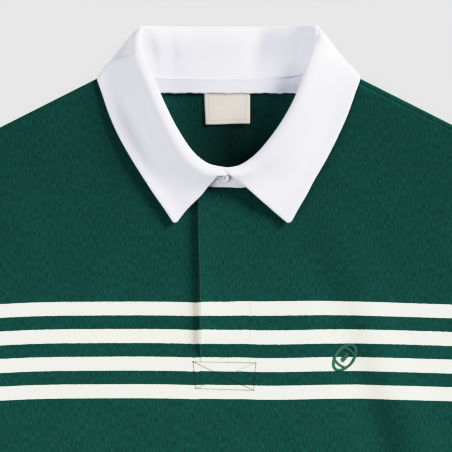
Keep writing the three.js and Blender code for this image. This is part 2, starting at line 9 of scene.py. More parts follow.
import bpy
import numpy as np
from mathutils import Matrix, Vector


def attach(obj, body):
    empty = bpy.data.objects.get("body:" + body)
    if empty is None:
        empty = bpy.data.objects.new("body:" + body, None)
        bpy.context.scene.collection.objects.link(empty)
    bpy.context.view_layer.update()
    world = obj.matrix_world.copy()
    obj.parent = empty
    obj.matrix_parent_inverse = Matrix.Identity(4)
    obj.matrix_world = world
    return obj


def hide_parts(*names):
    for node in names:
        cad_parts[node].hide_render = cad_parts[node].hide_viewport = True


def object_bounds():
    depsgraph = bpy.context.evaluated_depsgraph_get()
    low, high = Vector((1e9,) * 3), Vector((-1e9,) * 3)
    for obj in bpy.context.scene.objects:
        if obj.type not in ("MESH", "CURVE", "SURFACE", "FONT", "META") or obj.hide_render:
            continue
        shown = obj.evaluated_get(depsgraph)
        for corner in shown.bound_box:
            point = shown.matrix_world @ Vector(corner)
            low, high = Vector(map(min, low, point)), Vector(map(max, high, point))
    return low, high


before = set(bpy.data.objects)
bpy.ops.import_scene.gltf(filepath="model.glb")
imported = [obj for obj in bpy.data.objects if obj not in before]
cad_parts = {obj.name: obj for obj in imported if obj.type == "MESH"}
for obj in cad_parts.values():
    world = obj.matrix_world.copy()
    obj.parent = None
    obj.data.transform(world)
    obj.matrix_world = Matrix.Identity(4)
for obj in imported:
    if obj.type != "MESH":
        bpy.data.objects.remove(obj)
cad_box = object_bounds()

scene = bpy.context.scene
MM = 0.001

# Cloth thicknesses, and the space kept between pieces where they are sewn or lie on each other
JERSEY = 1.4
COLLAR_CLOTH = 1.8
RIB_CLOTH = 1.8
TAPE_CLOTH = 0.7
LABEL_CLOTH = 1.0
SEAM = 0.3

# The cut
HEM_Y = -693.0
HEM_DEPTH = 25.0
SHOULDER_SLOPE = math.radians(26.7)
NECK_POINT = (82.0, 28.0)
SHOULDER_X = 262.0
FRONT_NECK_Y = -81.0
BACK_NECK_Y = 4.0
NECK_LIFT = 2.6
SHOULDER_LOFT = 1.1
SEAM_LOFT = 0.4
SHOULDER_WRAP = {-1: 3.0, 1: 4.4}
SHOULDER_LEAN = 2.2
PLACKET = {"left": -23.0, "right": 21.3, "top": -81.0, "bottom": -253.0, "lift": 2.4}
OPENING_HALF_WIDTH = 10.0
OPENING_BOTTOM = -236.0
CUFF = {"length": 70.0, "width": 96.0, "ribs": 24, "rib_height": 0.5, "loft": 2.2}
BUTTON = {"x": -3.0, "up_the_stand": 0.46, "diameter": 12.4, "thickness": 2.3}
LABEL = {"left": -18.3, "right": 20.2, "top": 1.5, "bottom": -25.7}
TAPE = {"foot": 0.6, "above": 6.8}

# The knitted stripes, down from the top of the first, and how far they sag across the chest: (x, sag)
STRIPE_TOP = -176.3
STRIPE_PITCH = 23.5
STRIPE_SHARE = 0.498
STRIPE_COUNT = 4
STRIPE_SAG = [
    (-290, 6.4), (-240, 4.4), (-190, 2.7), (-167, 1.6), (-141, 1.0), (-107, 0.8), (-73, 0.7), (-48, 0.9),
    (-35, 1.1), (-25.5, 1.4), (-20, 0.8), (0, 0.8), (16, 0.4), (29, 0.6), (54, 0.3), (80, 0.1), (114, 0.7),
    (148, 1.9), (173, 2.7), (190, 3.2), (240, 4.8), (290, 6.6),
]


def shoulder_y(x):
    return NECK_POINT[1] - (x - NECK_POINT[0]) * math.tan(SHOULDER_SLOPE)


# The cut's tables, in the columns that each comment names
# Side seam from hem to underarm: x, y, y on the centre line, loft at the centre line
SIDE = np.array([
    (280, HEM_Y, HEM_Y, 0.9), (284, -610, -612, 1.5), (283, -500, -502, 2.0), (286, -390, -394, 2.3),
    (290, -312, -318, 2.4),
])
# Armhole from underarm to shoulder tip: x, y, loft
ARMHOLE = np.array([
    (290, -312, SEAM_LOFT), (266, -262, 1.3), (254, -196, 1.8), (254, -128, 1.5),
    (SHOULDER_X, shoulder_y(SHOULDER_X), SHOULDER_LOFT),
])
# Neck edges from the centre to the neck point: x, y
FRONT_NECK = np.array([(0, FRONT_NECK_Y), (18, -79.4), (47, -62), (68, -34), (79, -4), NECK_POINT])
BACK_NECK = np.array([(0, BACK_NECK_Y), (40, BACK_NECK_Y + 0.4), (66, 9), NECK_POINT])
# Sleeve from armhole to cuff: x and y of its folded top edge, x and y of its seamed under edge, loft
SLEEVE = np.array([
    (SHOULDER_X, shoulder_y(SHOULDER_X), 290, -312, 1.8), (302, -86, 318, -331, 2.2), (372, -137, 368, -361, 2.4),
    (484, -234, 444, -399, 2.2), (598, -334, 524, -439, 1.9), (648, -378, 580, -465, 1.9),
    (667.4, -403.4, 605.6, -476.9, 1.6),
])
# Collar from the centre front to the centre back: seam at the neck, fold's inner edge, where the fall flattens or
# turns under the shoulder, outer edge (x, y and z of each), then the stand's crown, how far the roll rises past
# the fold and in what distance, how far seam, fold and edge lean to the right, and how far the fold rises
COLLAR = np.array([
    (0.35, -79.6, 7.0, 0.35, -64.6, 15.4, 38, -99.5, 9.4, 48.6, -110.4, 9.4, 0, 6.4, 6.6, 12.3, 0.8, 5.2, 0),
    (17, -77.6, 6.8, 10, -62.6, 16.2, 46.5, -89, 9.4, 56.4, -97.4, 9.6, 0, 5.6, 6.4, 4, -0.3, 4.5, 0),
    (32, -70.6, 6.6, 20, -57.2, 17.8, 54, -79, 9.4, 64, -85.6, 9.7, 0, 3.6, 6.2, 1, -0.6, 3.8, 0),
    (45.8, -60.4, 6.6, 30, -48, 20.4, 61, -67.6, 9.4, 71.4, -73, 9.8, 0, 3.2, 6, 0, -0.3, 3, 0),
    (58, -46.2, 6.6, 42, -31.6, 23.6, 70, -51.2, 9.6, 81.6, -56.2, 9.8, 0, 2.8, 5.8, 0, 0.8, 2.6, 0),
    (67, -31, 6.6, 51.6, -15, 25.6, 80.5, -30.8, 9.8, 92.4, -36, 9.8, 0, 2.4, 5.6, 0, 1.7, 2, 0),
    (74.2, -12, 6.8, 59.4, 1.8, 26.4, 89, -12.4, 10.4, 100.6, -17.4, 9.8, 0, 2.2, 5.4, 0, 2, 2, 0),
    (78, 4, 7.4, 66.2, 19.4, 25.8, 97.2, 5.4, 11.6, 107.0, 1.0, 9.6, 0, 1.8, 5, 0, 1.5, 2.1, 0.5),
    (79, 14, 7.6, 70.6, 31, 24.2, 102.2, 21.8, 10.4, 111.0, 12.4, 8.0, 0, 1.4, 4.8, 0, 1.4, 2.2, 1),
    (79.4, 19, 7.6, 72.8, 37, 22.2, 98.8, 28.0, 4.6, 109.4, 13.2, 1.0, 0.2, 1, 4.4, 0, 1.4, 2.2, 2.5),
    (79.2, 22, 7.2, 74.4, 43, 19.6, 92.2, 36.6, 2.6, 99.5, 8.0, 1.0, 0.6, 0.4, 4, 0, 1.6, 1.8, 5),
    (76.4, 20, 6.5, 74.4, 51.8, 12.6, 83.6, 47.2, 3.0, 90, 5, 1.0, 0.4, 0.0, 4.4, 0, 2.2, 1.2, 14),
    (70.4, 12.8, 5.8, 72.6, 56.4, 7.2, 75.4, 52.2, 1.4, 77, 2.4, 1.0, 2.4, -4.2, 2.8, 0, 2.2, 0, 21),
    (56, 7.6, 5.0, 52, 56.2, 5.6, 50, 48, 1.0, 57, 1.2, 1.0, 4.8, -4.2, 3.6, 0, 2, 0, 9.5),
    (30, 6.5, 4.8, 27, 56.2, 5.0, 27, 48, 1.0, 30, 0.8, 1.0, 5.0, -3.9, 3.6, 0, 1, 0, 0.2),
    (0, 6.2, 4.8, 0, 56.2, 5.0, 0, 48, 1.0, 0, 0.8, 1.0, 5.0, -3.9, 3.6, 0, 0, 0, 0),
])
# Soft ridges in the upper layer, and troughs where the height is below nothing: x and y of both ends, width, height
CREASES = np.array([
    (170, -190, 158, -330, 34, 1.3), (-42, -250, -56, -420, 28, 1.2), (40, -300, 62, -560, 36, 1.3),
    (-150, -360, -128, -600, 38, 1.4), (190, -420, 170, -640, 34, 1.2), (-268, -300, -176, -226, 22, 1.3),
    (268, -306, 186, -246, 22, 1.3), (-300, -300, -360, -180, 22, 1.4), (-410, -370, -470, -250, 20, 1.6),
    (-520, -420, -566, -330, 18, 1.4), (312, -286, 366, -196, 24, 1.3), (428, -376, 462, -240, 20, 1.6),
    (506, -410, 578, -344, 18, 1.4),
])
SOFT_FOLDS = np.array([
    (60, -90, 179, -450, 26, -1.8), (88, -90, 210, -450, 28, 3.0), (-52, -250, -52, -330, 10, -0.7), (54, -262, 60, -360, 22, 0.7),
    (-41.6, -216, -42.4, -262, 2.2, 0.35), (-23.5, -84, -22, -250, 15, 1.0), (-120, -130, -96, -300, 30, 0.4), (205, -90, 150, -150, 20, 0.5),
    (-196, -80, -150, -160, 22, 0.5), (0, -420, -30, -640, 30, 0.9), (96, -380, 120, -640, 22, -0.8),
    (-214, -400, -190, -660, 26, 0.9), (236, -360, 240, -560, 24, 0.8), (-250, -330, -236, -470, 20, 0.8),
    (-90, -430, -84, -600, 24, -0.7), (130, -500, 200, -600, 26, 0.6), (-20, -520, 60, -660, 30, 0.5),
    (340, -130, 352, -230, 16, 0.8), (400, -180, 392, -300, 14, 0.8), (520, -290, 496, -380, 13, 0.8),
    (590, -350, 560, -430, 12, 0.8), (-340, -130, -330, -230, 16, 0.8), (-392, -170, -420, -290, 14, 0.8),
    (-520, -290, -500, -384, 13, 0.8), (-604, -360, -570, -430, 12, 0.8), (-448, -340, -380, -200, 12, 0.6),
])


def smoothstep(x, low, high):
    share = np.clip((np.asarray(x, float) - low) / (high - low), 0, 1)
    return share * share * (3 - 2 * share)


def spline(points, share, even=True):
    """A Catmull-Rom curve through the rows of points, at shares of the way from the first row to the last.

    Even gives every row the same say; otherwise the distance between rows counts, by its square root.
    """
    points = np.asarray(points, float)
    ends = [2 * points[..., :1, :] - points[..., 1:2, :], points, 2 * points[..., -1:, :] - points[..., -2:-1, :]]
    points = np.concatenate(ends, axis=-2)
    way = np.clip(np.asarray(share, float), 0, 1) * (points.shape[-2] - 3)
    row = np.minimum(way.astype(int), points.shape[-2] - 4)
    t = (way - row)[:, None]
    p0, p1, p2, p3 = (points[..., row + i, :] for i in range(4))
    if even:
        start, end = 0.5 * (p2 - p0), 0.5 * (p3 - p1)
    else:
        d0, d1, d2 = (np.sqrt(np.linalg.norm(b - a, axis=-1, keepdims=True)) for a, b in
                      ((p0, p1), (p1, p2), (p2, p3)))
        d1 = np.maximum(d1, 1e-4)
        d0 = np.where(d0 < 1e-4, d1, d0)
        d2 = np.where(d2 < 1e-4, d1, d2)
        start = ((p1 - p0) / d0 - (p2 - p0) / (d0 + d1) + (p2 - p1) / d1) * d1
        end = ((p2 - p1) / d1 - (p3 - p1) / (d1 + d2) + (p3 - p2) / d2) * d1
    return (p1 + start * t + (3 * (p2 - p1) - 2 * start - end) * t ** 2
            + (2 * (p1 - p2) + start + end) * t ** 3)


def evenly(points, share, even=False):
    """The same curve, at shares of its length."""
    fine = spline(points, np.linspace(0, 1, 400), even)
    length = np.concatenate([[0], np.cumsum(np.linalg.norm(np.diff(fine, axis=0), axis=1))])
    return np.stack([np.interp(np.asarray(share) * length[-1], length, fine[:, i]) for i in
                     range(fine.shape[1])], -1)


def steps_along(rows, axis):
    """The distance from the first point of each row or column of a grid, along it."""
    step = np.linalg.norm(np.diff(rows, axis=axis), axis=2)
    return np.insert(np.cumsum(step, axis=axis), 0, 0, axis=axis)


def ridges(x, y, table):
    """The height that a table of ridges and troughs gives at each place."""
    height = np.zeros(np.shape(x))
    for x0, y0, x1, y1, width, top in table:
        dx, dy = x1 - x0, y1 - y0
        share = np.clip(((x - x0) * dx + (y - y0) * dy) / (dx * dx + dy * dy), 0, 1)
        away = np.minimum(np.hypot(x - x0 - share * dx, y - y0 - share * dy), width)
        height += top * np.sin(math.pi * share) * 0.5 * (1 + np.cos(math.pi * away / width))
    return height


def back_height(y):
    return JERSEY / 2 + NECK_LIFT * smoothstep(y, -70, 9)


def front_height(x, y, loft):
    return back_height(y) + JERSEY + SEAM + loft + ridges(x, y, CREASES) + ridges(x, y, SOFT_FOLDS)


def settled(rows):
    """The shoulders moved over, as the shirt lies. The neck edge stays where the collar holds it."""
    x, y = rows[..., 0], rows[..., 1]
    rows[..., 0] = x + SHOULDER_LEAN * smoothstep(np.abs(x), 70, 112) * smoothstep(y, -300, -60)
    return rows


def sag(x, y):
    """How far the knitting hangs below its straight line: a little more right of the placket, below the first stripe."""
    return np.interp(x, *np.transpose(STRIPE_SAG)) + 1.6 * np.exp(-((x - 50) / 55) ** 2) * smoothstep(-y, 178, 205)


def sheet(rows, cut, thick):
    """Rows of points as a sheet of quads, with the flat place and the cloth's thickness at every point."""
    down, across = rows.shape[:2]
    corner = np.arange(down * across).reshape(down, across)
    quads = np.stack([corner[:-1, :-1], corner[:-1, 1:], corner[1:, 1:], corner[1:, :-1]], -1)
    return {
        "place": rows.reshape(-1, 3),
        "cut": cut.reshape(-1, 2),
        "thick": np.broadcast_to(thick, (down, across)).ravel(),
        "quads": quads.reshape(-1, 4),
    }


def joined(first, second):
    return {
        "place": np.concatenate([first["place"], second["place"]]),
        "cut": np.concatenate([first["cut"], second["cut"]]),
        "thick": np.concatenate([first["thick"], second["thick"]]),
        "quads": np.concatenate([first["quads"], second["quads"] + len(first["place"])]),
    }


def face_normals(place, faces):
    return np.cross(place[faces[:, 2]] - place[faces[:, 0]], place[faces[:, 3]] - place[faces[:, 1]])


def unit(vectors):
    return vectors / np.maximum(np.linalg.norm(vectors, axis=-1, keepdims=True), 1e-9)


def vertex_normals(place, faces):
    normals = np.zeros(place.shape)
    for corner in range(4):
        np.add.at(normals, faces[:, corner], face_normals(place, faces))
    return unit(normals)


def to_frame(place):
    """Millimetres in the cut to metres in the shared frame, whose origin is the middle of the footprint."""
    return (np.asarray(place, float) - (0, HEM_Y, 0)) * MM + (0, cad_box[0][1], 0)


def mesh_piece(name, place, faces, material, cut=None, smooth=True):
    """A mesh object at the origin, with its place in its vertices and its flat cut in the "cloth" UV map."""
    mesh = bpy.data.meshes.new(name)
    mesh.from_pydata(to_frame(place).tolist(), [], faces if isinstance(faces, list) else faces.tolist())
    if cut is not None:
        layer = mesh.uv_layers.new(name="cloth")
        layer.data.foreach_set("uv", np.asarray(cut, np.float32).ravel())
    mesh.polygons.foreach_set("use_smooth", [smooth] * len(mesh.polygons))
    if material:
        mesh.materials.append(material)
    made = bpy.data.objects.new(name, mesh)
    scene.collection.objects.link(made)
    return made


def wall(name, cloth, material, edge=0.35, reverse=None):
    """A closed wall of cloth round a sheet's middle, with a rounded rim on every free edge.

    The reverse, where it looks different, is the face towards which the sheet's normals point.
    """
    whole, quads, cut = cloth["place"], cloth["quads"], cloth["cut"]
    _, first, merged = np.unique(np.round(whole / 0.01).astype(int), axis=0, return_index=True, return_inverse=True)
    merged = merged.reshape(-1)
    middle, thick, faces = whole[first], cloth["thick"][first], merged[quads]
    count = len(middle)
    normal = vertex_normals(middle, faces)
    out = normal * thick[:, None] / 2
    start, end = quads.ravel(), np.roll(quads, -1, axis=1).ravel()
    a, b = merged[start], merged[end]
    free = ~np.isin(a * count + b, b * count + a)
    start, end, a, b = start[free], end[free], a[free], b[free]
    outward = np.zeros(middle.shape)
    face = np.repeat(face_normals(middle, faces), 4, axis=0)[free]
    for corner in (a, b):
        np.add.at(outward, corner, unit(np.cross(middle[b] - middle[a], face)))
    rim = np.unique(a)
    rim_at = np.full(count, -1)
    rim_at[rim] = 2 * count + np.arange(len(rim))
    place = np.concatenate([middle + out, middle - out, middle[rim] + unit(outward[rim]) * thick[rim, None] * edge])
    ma, mb = rim_at[a], rim_at[b]
    every = np.concatenate([
        faces, faces[:, ::-1] + count, np.stack([b, a, ma, mb], 1), np.stack([mb, ma, a + count, b + count], 1),
    ])
    flat = np.concatenate([
        cut[quads], cut[quads[:, ::-1]], cut[np.stack([end, start, start, end], 1)],
        cut[np.stack([end, start, start, end], 1)],
    ])
    made = mesh_piece(name, place, every, material, flat.reshape(-1, 2))
    if reverse:
        made.data.materials.append(reverse)
        made.data.polygons.foreach_set("material_index", (np.arange(len(every)) < len(faces)).astype(np.int32))
    cloth["outer"] = (middle + out)[merged]
    cloth["normal"] = normal[merged]
    cloth["area"] = np.linalg.norm(face_normals(middle, faces), axis=1).sum() / 2
    return made


def declare(piece, nodes):
    """A sheet of cloth tied to the shared frame's root, with the CAD nodes that it stands for hidden."""
    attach(piece, "root")
    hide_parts(*nodes)


# Materials

MATH = "ShaderNodeMath"


def linear(colour):
    """An sRGB hex colour as linear red, green, blue and alpha."""
    parts = [int(colour[i:i + 2], 16) / 255 for i in (1, 3, 5)]
    return (*[c / 12.92 if c <= 0.04045 else ((c + 0.055) / 1.055) ** 2.4 for c in parts], 1.0)


def node(tree, kind, inputs=None, **settings):
    """A node with its settings. An input is set to a value, or linked to a socket or to a node's first output."""
    made = tree.nodes.new(kind)
    for name, value in settings.items():
        setattr(made, name, value)
    for name, value in (inputs or {}).items():
        if isinstance(value, bpy.types.Node):
            value = value.outputs[0]
        if isinstance(value, bpy.types.NodeSocket):
            tree.links.new(value, made.inputs[name])
        else:
            made.inputs[name].default_value = value
    return made


def new_material(name):
    """An empty material and its tree."""
    material = bpy.data.materials.new(name)
    material.use_nodes = True
    material.node_tree.nodes.clear()
    return material, material.node_tree


def surfaced(material, inputs):
    """The material with its surface made of these."""
    tree = material.node_tree
    node(tree, "ShaderNodeOutputMaterial", {"Surface": node(tree, "ShaderNodeBsdfPrincipled", inputs)})
    return material


def cloth_place(tree):
    """The flat cut's two directions in millimetres."""
    return node(tree, "ShaderNodeSeparateXYZ", {0: node(tree, "ShaderNodeUVMap", uv_map="cloth")}).outputs[:2]


def streaks(tree, u, v, along, across, detail=2.0):
    """Noise from nothing to one, whose grains are so long and so wide in millimetres."""
    x = node(tree, MATH, {0: u, 1: across}, operation="DIVIDE")
    y = node(tree, MATH, {0: v, 1: along}, operation="DIVIDE")
    place = node(tree, "ShaderNodeCombineXYZ", {0: x, 1: y})
    return node(tree, "ShaderNodeTexNoise", {"Vector": place, "Scale": 1.0, "Detail": detail},
                noise_dimensions="2D")


def jersey(name, striped=False, reverse=False):
    """Knitted cotton jersey, piece-dyed bottle green: dull and soft, with the fine upright rows of its stitches.

    Its looped reverse carries painted shade: darkest at the middle of the back, for the shade inside the neck, and
    lighter out to the sides.
    """
    material, tree = new_material(name)
    u, v = cloth_place(tree)
    # The dye takes unevenly along the yarn, and shade is painted in: the colour is a little darker at the upper
    # chest and lighter from the chest down
    grain = streaks(tree, u, v, 5.0, 1.0, 3.0)
    cloud = streaks(tree, u, v, 60.0, 45.0)
    painted_chest_shade = node(tree, "ShaderNodeMapRange", {
        "Value": v, "From Min": -60.0, "From Max": -230.0, "To Min": 0.9, "To Max": 1.08,
    }, interpolation_type="SMOOTHSTEP")
    speckle = node(tree, MATH, {0: grain, 1: 1.3, 2: 0.35}, operation="MULTIPLY_ADD")
    patch = node(tree, MATH, {0: cloud, 1: 0.16, 2: 0.92}, operation="MULTIPLY_ADD")
    tone = node(tree, MATH, {0: speckle, 1: patch}, operation="MULTIPLY")
    tone = node(tree, MATH, {0: tone, 1: painted_chest_shade}, operation="MULTIPLY")
    # Painted shade on the reverse: darkest at the middle of the back, where the inside of the neck lies in shade
    if reverse:
        painted_neck_shade = node(tree, MATH, {0: u, 1: 4.0}, operation="SUBTRACT")
        painted_neck_shade = node(tree, MATH, {0: painted_neck_shade}, operation="ABSOLUTE")
        painted_neck_shade = node(tree, MATH, {0: painted_neck_shade, 1: 0.014, 2: 0.3}, operation="MULTIPLY_ADD")
        tone = node(tree, MATH, {0: tone, 1: painted_neck_shade}, operation="MULTIPLY")
    shade = node(tree, "ShaderNodeCombineColor", {0: tone, 1: tone, 2: tone})
    colour = node(tree, "ShaderNodeMix", {0: 1.0, 6: linear("#1b544b"), 7: shade}, data_type="RGBA",
                  blend_type="MULTIPLY").outputs[2]
    if striped:
        # A course of stitches is about a millimetre high, so that the stripe's edge is a little uneven
        below = node(tree, MATH, {0: STRIPE_TOP, 1: v}, operation="SUBTRACT")
        down = node(tree, MATH, {0: below, 1: STRIPE_PITCH}, operation="DIVIDE")
        down = node(tree, MATH, {0: streaks(tree, u, v, 3.0, 1.1, 0.0), 1: 0.02, 2: down}, operation="MULTIPLY_ADD")
        begun = node(tree, MATH, {0: down, 1: 0.01}, operation="GREATER_THAN")
        left = node(tree, MATH, {0: down, 1: float(STRIPE_COUNT)}, operation="LESS_THAN")
        part = node(tree, MATH, {0: down}, operation="FRACT")
        cream = node(tree, MATH, {0: part, 1: STRIPE_SHARE}, operation="LESS_THAN")
        cream = node(tree, MATH, {0: cream, 1: begun}, operation="MULTIPLY")
        cream = node(tree, MATH, {0: cream, 1: left}, operation="MULTIPLY")
        pale = node(tree, "ShaderNodeMix", {0: speckle, 6: linear("#f2f1dc"), 7: linear("#fefdea")},
                    data_type="RGBA").outputs[2]
        colour = node(tree, "ShaderNodeMix", {0: cream, 6: colour, 7: pale}, data_type="RGBA").outputs[2]
    # Wales are 1.25 mm apart, and their V-shaped loops 1 mm high
    wale = node(tree, MATH, {0: u, 1: 1.25}, operation="DIVIDE")
    wale = node(tree, MATH, {0: wale}, operation="FRACT")
    wale = node(tree, MATH, {0: wale, 1: 0.5}, operation="SUBTRACT")
    wale = node(tree, MATH, {0: wale}, operation="ABSOLUTE")
    loop = node(tree, MATH, {0: wale, 1: 1.2, 2: v}, operation="MULTIPLY_ADD")
    loop = node(tree, MATH, {0: loop}, operation="FRACT")
    loop = node(tree, MATH, {0: loop, 1: 0.5}, operation="SUBTRACT")
    loop = node(tree, MATH, {0: loop}, operation="ABSOLUTE")
    knit = node(tree, MATH, {0: loop, 1: 0.3, 2: wale}, operation="MULTIPLY_ADD")
    knit = node(tree, MATH, {0: knit, 1: 0.5, 2: grain}, operation="MULTIPLY_ADD")
    rough = node(tree, MATH, {0: grain, 1: 0.12, 2: 0.8}, operation="MULTIPLY_ADD")
    return surfaced(material, {
        "Base Color": colour,
        "Roughness": rough,
        "Specular IOR Level": 0.08,
        "Normal": node(tree, "ShaderNodeBump", {"Height": knit, "Distance": 0.12 * MM, "Strength": 0.7}),
    })


def rib_knit():
    """Cotton rib knit for the cuffs, in the jersey's green: its ribs are in the mesh, its stitches in the bump."""
    material, tree = new_material("green cotton rib knit")
    u, v = cloth_place(tree)
    grain = streaks(tree, u, v, 7.0, 0.8)
    colour = node(tree, "ShaderNodeMix", {0: grain, 6: linear("#113e33"), 7: linear("#1c5549")}, data_type="RGBA")
    loop = node(tree, MATH, {0: v, 1: 1.1}, operation="DIVIDE")
    loop = node(tree, MATH, {0: loop}, operation="FRACT")
    loop = node(tree, MATH, {0: loop, 1: 0.5}, operation="SUBTRACT")
    loop = node(tree, MATH, {0: loop}, operation="ABSOLUTE")
    knit = node(tree, MATH, {0: loop, 1: grain}, operation="ADD")
    return surfaced(material, {
        "Base Color": colour.outputs[2],
        "Roughness": 0.9,
        "Specular IOR Level": 0.1,
        "Normal": node(tree, "ShaderNodeBump", {"Height": knit, "Distance": 0.2 * MM}),
    })


def twill(name, colour, shade):
    """Bleached cotton twill: matt and close, with fine diagonal ribs. They are 0.5 mm apart in the real cloth and
    0.9 mm here, because finer ones would not show."""
    material, tree = new_material(name)
    u, v = cloth_place(tree)
    slub = streaks(tree, u, v, 3.0, 0.7)
    cloud = streaks(tree, u, v, 26.0, 22.0)
    share = node(tree, MATH, {0: slub, 1: cloud}, operation="ADD")
    share = node(tree, MATH, {0: share, 1: 0.5}, operation="MULTIPLY")
    mixed = node(tree, "ShaderNodeMix", {0: share, 6: linear(shade), 7: linear(colour)}, data_type="RGBA")
    diagonal = node(tree, MATH, {0: u, 1: v}, operation="ADD")
    diagonal = node(tree, MATH, {0: diagonal, 1: math.tau / 0.9}, operation="MULTIPLY")
    diagonal = node(tree, MATH, {0: diagonal}, operation="SINE")
    height = node(tree, MATH, {0: diagonal, 1: 0.3, 2: slub}, operation="MULTIPLY_ADD")
    return surfaced(material, {
        "Base Color": mixed.outputs[2],
        "Roughness": 0.8,
        "Specular IOR Level": 0.3,
        "Sheen Weight": 0.03,
        "Normal": node(tree, "ShaderNodeBump", {"Height": height, "Distance": 0.07 * MM, "Strength": 0.7}),
    })


def herringbone():
    """White cotton herringbone tape: bands of twill that lean in turn to either side, 3 mm wide."""
    material, tree = new_material("white herringbone tape")
    u, v = cloth_place(tree)
    band = node(tree, MATH, {0: v, 1: 6.0}, operation="DIVIDE")
    band = node(tree, MATH, {0: band}, operation="FRACT")
    band = node(tree, MATH, {0: band, 1: 0.5}, operation="SUBTRACT")
    band = node(tree, MATH, {0: band}, operation="ABSOLUTE")
    rib = node(tree, MATH, {0: band, 1: 6.0, 2: u}, operation="MULTIPLY_ADD")
    rib = node(tree, MATH, {0: rib, 1: math.tau / 1.2}, operation="MULTIPLY")
    rib = node(tree, MATH, {0: rib}, operation="SINE")
    share = node(tree, MATH, {0: rib, 1: 0.25, 2: 0.6}, operation="MULTIPLY_ADD")
    mixed = node(tree, "ShaderNodeMix", {0: share, 6: linear("#dee0eb"), 7: linear("#f4f5ff")}, data_type="RGBA")
    return surfaced(material, {
        "Base Color": mixed.outputs[2],
        "Roughness": 0.75,
        "Normal": node(tree, "ShaderNodeBump", {"Height": rib, "Distance": 0.06 * MM}),
    })


def satin_label():
    """Woven satin label, cream polyester: close lines of weft with a low gloss, and a border woven in tone."""
    material, tree = new_material("cream woven satin")
    u, v = cloth_place(tree)
    weft = node(tree, MATH, {0: v, 1: math.tau / 0.8}, operation="MULTIPLY")
    weft = node(tree, MATH, {0: weft}, operation="SINE")
    slub = streaks(tree, u, v, 0.8, 5.0)
    share = node(tree, MATH, {0: weft, 1: 0.12, 2: 0.2}, operation="MULTIPLY_ADD")
    share = node(tree, MATH, {0: slub, 1: 0.6, 2: share}, operation="MULTIPLY_ADD")
    ground = node(tree, "ShaderNodeMix", {0: share, 6: linear("#cfc5b7"), 7: linear("#e8dfd3")}, data_type="RGBA")
    to_right = node(tree, MATH, {0: LABEL["right"] - LABEL["left"], 1: u}, operation="SUBTRACT")
    to_top = node(tree, MATH, {0: LABEL["top"] - LABEL["bottom"], 1: v}, operation="SUBTRACT")
    across = node(tree, MATH, {0: u, 1: to_right}, operation="MINIMUM")
    along = node(tree, MATH, {0: v, 1: to_top}, operation="MINIMUM")
    inset = node(tree, MATH, {0: across, 1: along}, operation="MINIMUM")
    line = node(tree, MATH, {0: inset, 1: 3.2, 2: 0.35}, operation="COMPARE")
    line = node(tree, MATH, {0: line, 1: 0.55}, operation="MULTIPLY")
    mixed = node(tree, "ShaderNodeMix", {0: line, 6: ground.outputs[2], 7: linear("#b9b1a2")}, data_type="RGBA")
    weave = node(tree, MATH, {0: weft, 1: slub}, operation="ADD")
    return surfaced(material, {
        "Base Color": mixed.outputs[2],
        "Roughness": 0.55,
        "Sheen Weight": 0.1,
        "Normal": node(tree, "ShaderNodeBump", {"Height": weave, "Distance": 0.05 * MM}),
    })


def thread(name, colour, shade):
    """Spun polyester sewing thread: a dull gloss, with its two plies showing as darker turns."""
    material, tree = new_material(name)
    place = node(tree, "ShaderNodeTexCoord").outputs["Object"]
    plies = node(tree, "ShaderNodeTexNoise", {"Vector": place, "Scale": 900.0, "Detail": 1.0})
    mixed = node(tree, "ShaderNodeMix", {0: plies, 6: linear(shade), 7: linear(colour)}, data_type="RGBA")
    return surfaced(material, {
        "Base Color": mixed.outputs[2],
        "Roughness": 0.5,
        "Sheen Weight": 0.1,
        "Normal": node(tree, "ShaderNodeBump", {"Height": plies, "Distance": 0.05 * MM}),
    })


def polyester_button():
    """Cast polyester, polished by tumbling: milky, with a faint pearly cloud under a hard gloss."""
    material, tree = new_material("pearl cast polyester")
    place = node(tree, "ShaderNodeTexCoord").outputs["Object"]
    cloud = node(tree, "ShaderNodeTexNoise", {"Vector": place, "Scale": 260.0, "Detail": 2.0, "Distortion": 1.5})
    mixed = node(tree, "ShaderNodeMix", {0: cloud, 6: linear("#efefec"), 7: linear("#fdfdf9")}, data_type="RGBA")
    rough = node(tree, MATH, {0: cloud, 1: 0.15, 2: 0.2}, operation="MULTIPLY_ADD")
    scratches = node(tree, "ShaderNodeTexNoise", {"Vector": place, "Scale": 2200.0, "Detail": 2.0})
    return surfaced(material, {
        "Base Color": mixed.outputs[2],
        "Roughness": rough,
        "IOR": 1.54,
        "Coat Weight": 0.2,
        "Coat Roughness": 0.12,
        "Normal": node(tree, "ShaderNodeBump", {"Height": scratches, "Distance": 0.01 * MM}),
    })


def backdrop_paper():
    """Seamless studio paper, lit from behind its surface so that the shirt hardly shades it."""
    material, tree = new_material("pale studio paper")
    place = node(tree, "ShaderNodeTexCoord").outputs["Object"]
    fibre = node(tree, "ShaderNodeTexNoise", {"Vector": place, "Scale": 40.0, "Detail": 3.0})
    shade = node(tree, "ShaderNodeMix", {0: fibre, 6: linear("#e5e5e5"), 7: linear("#e7e7e7")}, data_type="RGBA")
    return surfaced(material, {
        "Base Color": linear("#3c3c3c"),
        "Roughness": 1.0,
        "Specular IOR Level": 0.0,
        "Emission Color": shade.outputs[2],
        "Emission Strength": 0.862,
    })


GREEN_BODY = jersey("striped green cotton jersey", striped=True)
GREEN_SLEEVE = jersey("green cotton jersey")
# The reverse carries painted shade for the inside of the neck
GREEN_REVERSE_PAINTED_SHADE = jersey("green cotton jersey reverse with painted shade", reverse=True)
GREEN_RIB = rib_knit()
COLLAR_TWILL = twill("white cotton twill", "#fbfaff", "#f2f1ff")
TAPE_WEAVE = herringbone()
LABEL_WEAVE = satin_label()
GREEN_THREAD = thread("green polyester thread", "#3b7466", "#1f4f43")
DARK_THREAD = thread("dark grey polyester thread", "#3f5049", "#1b2723")
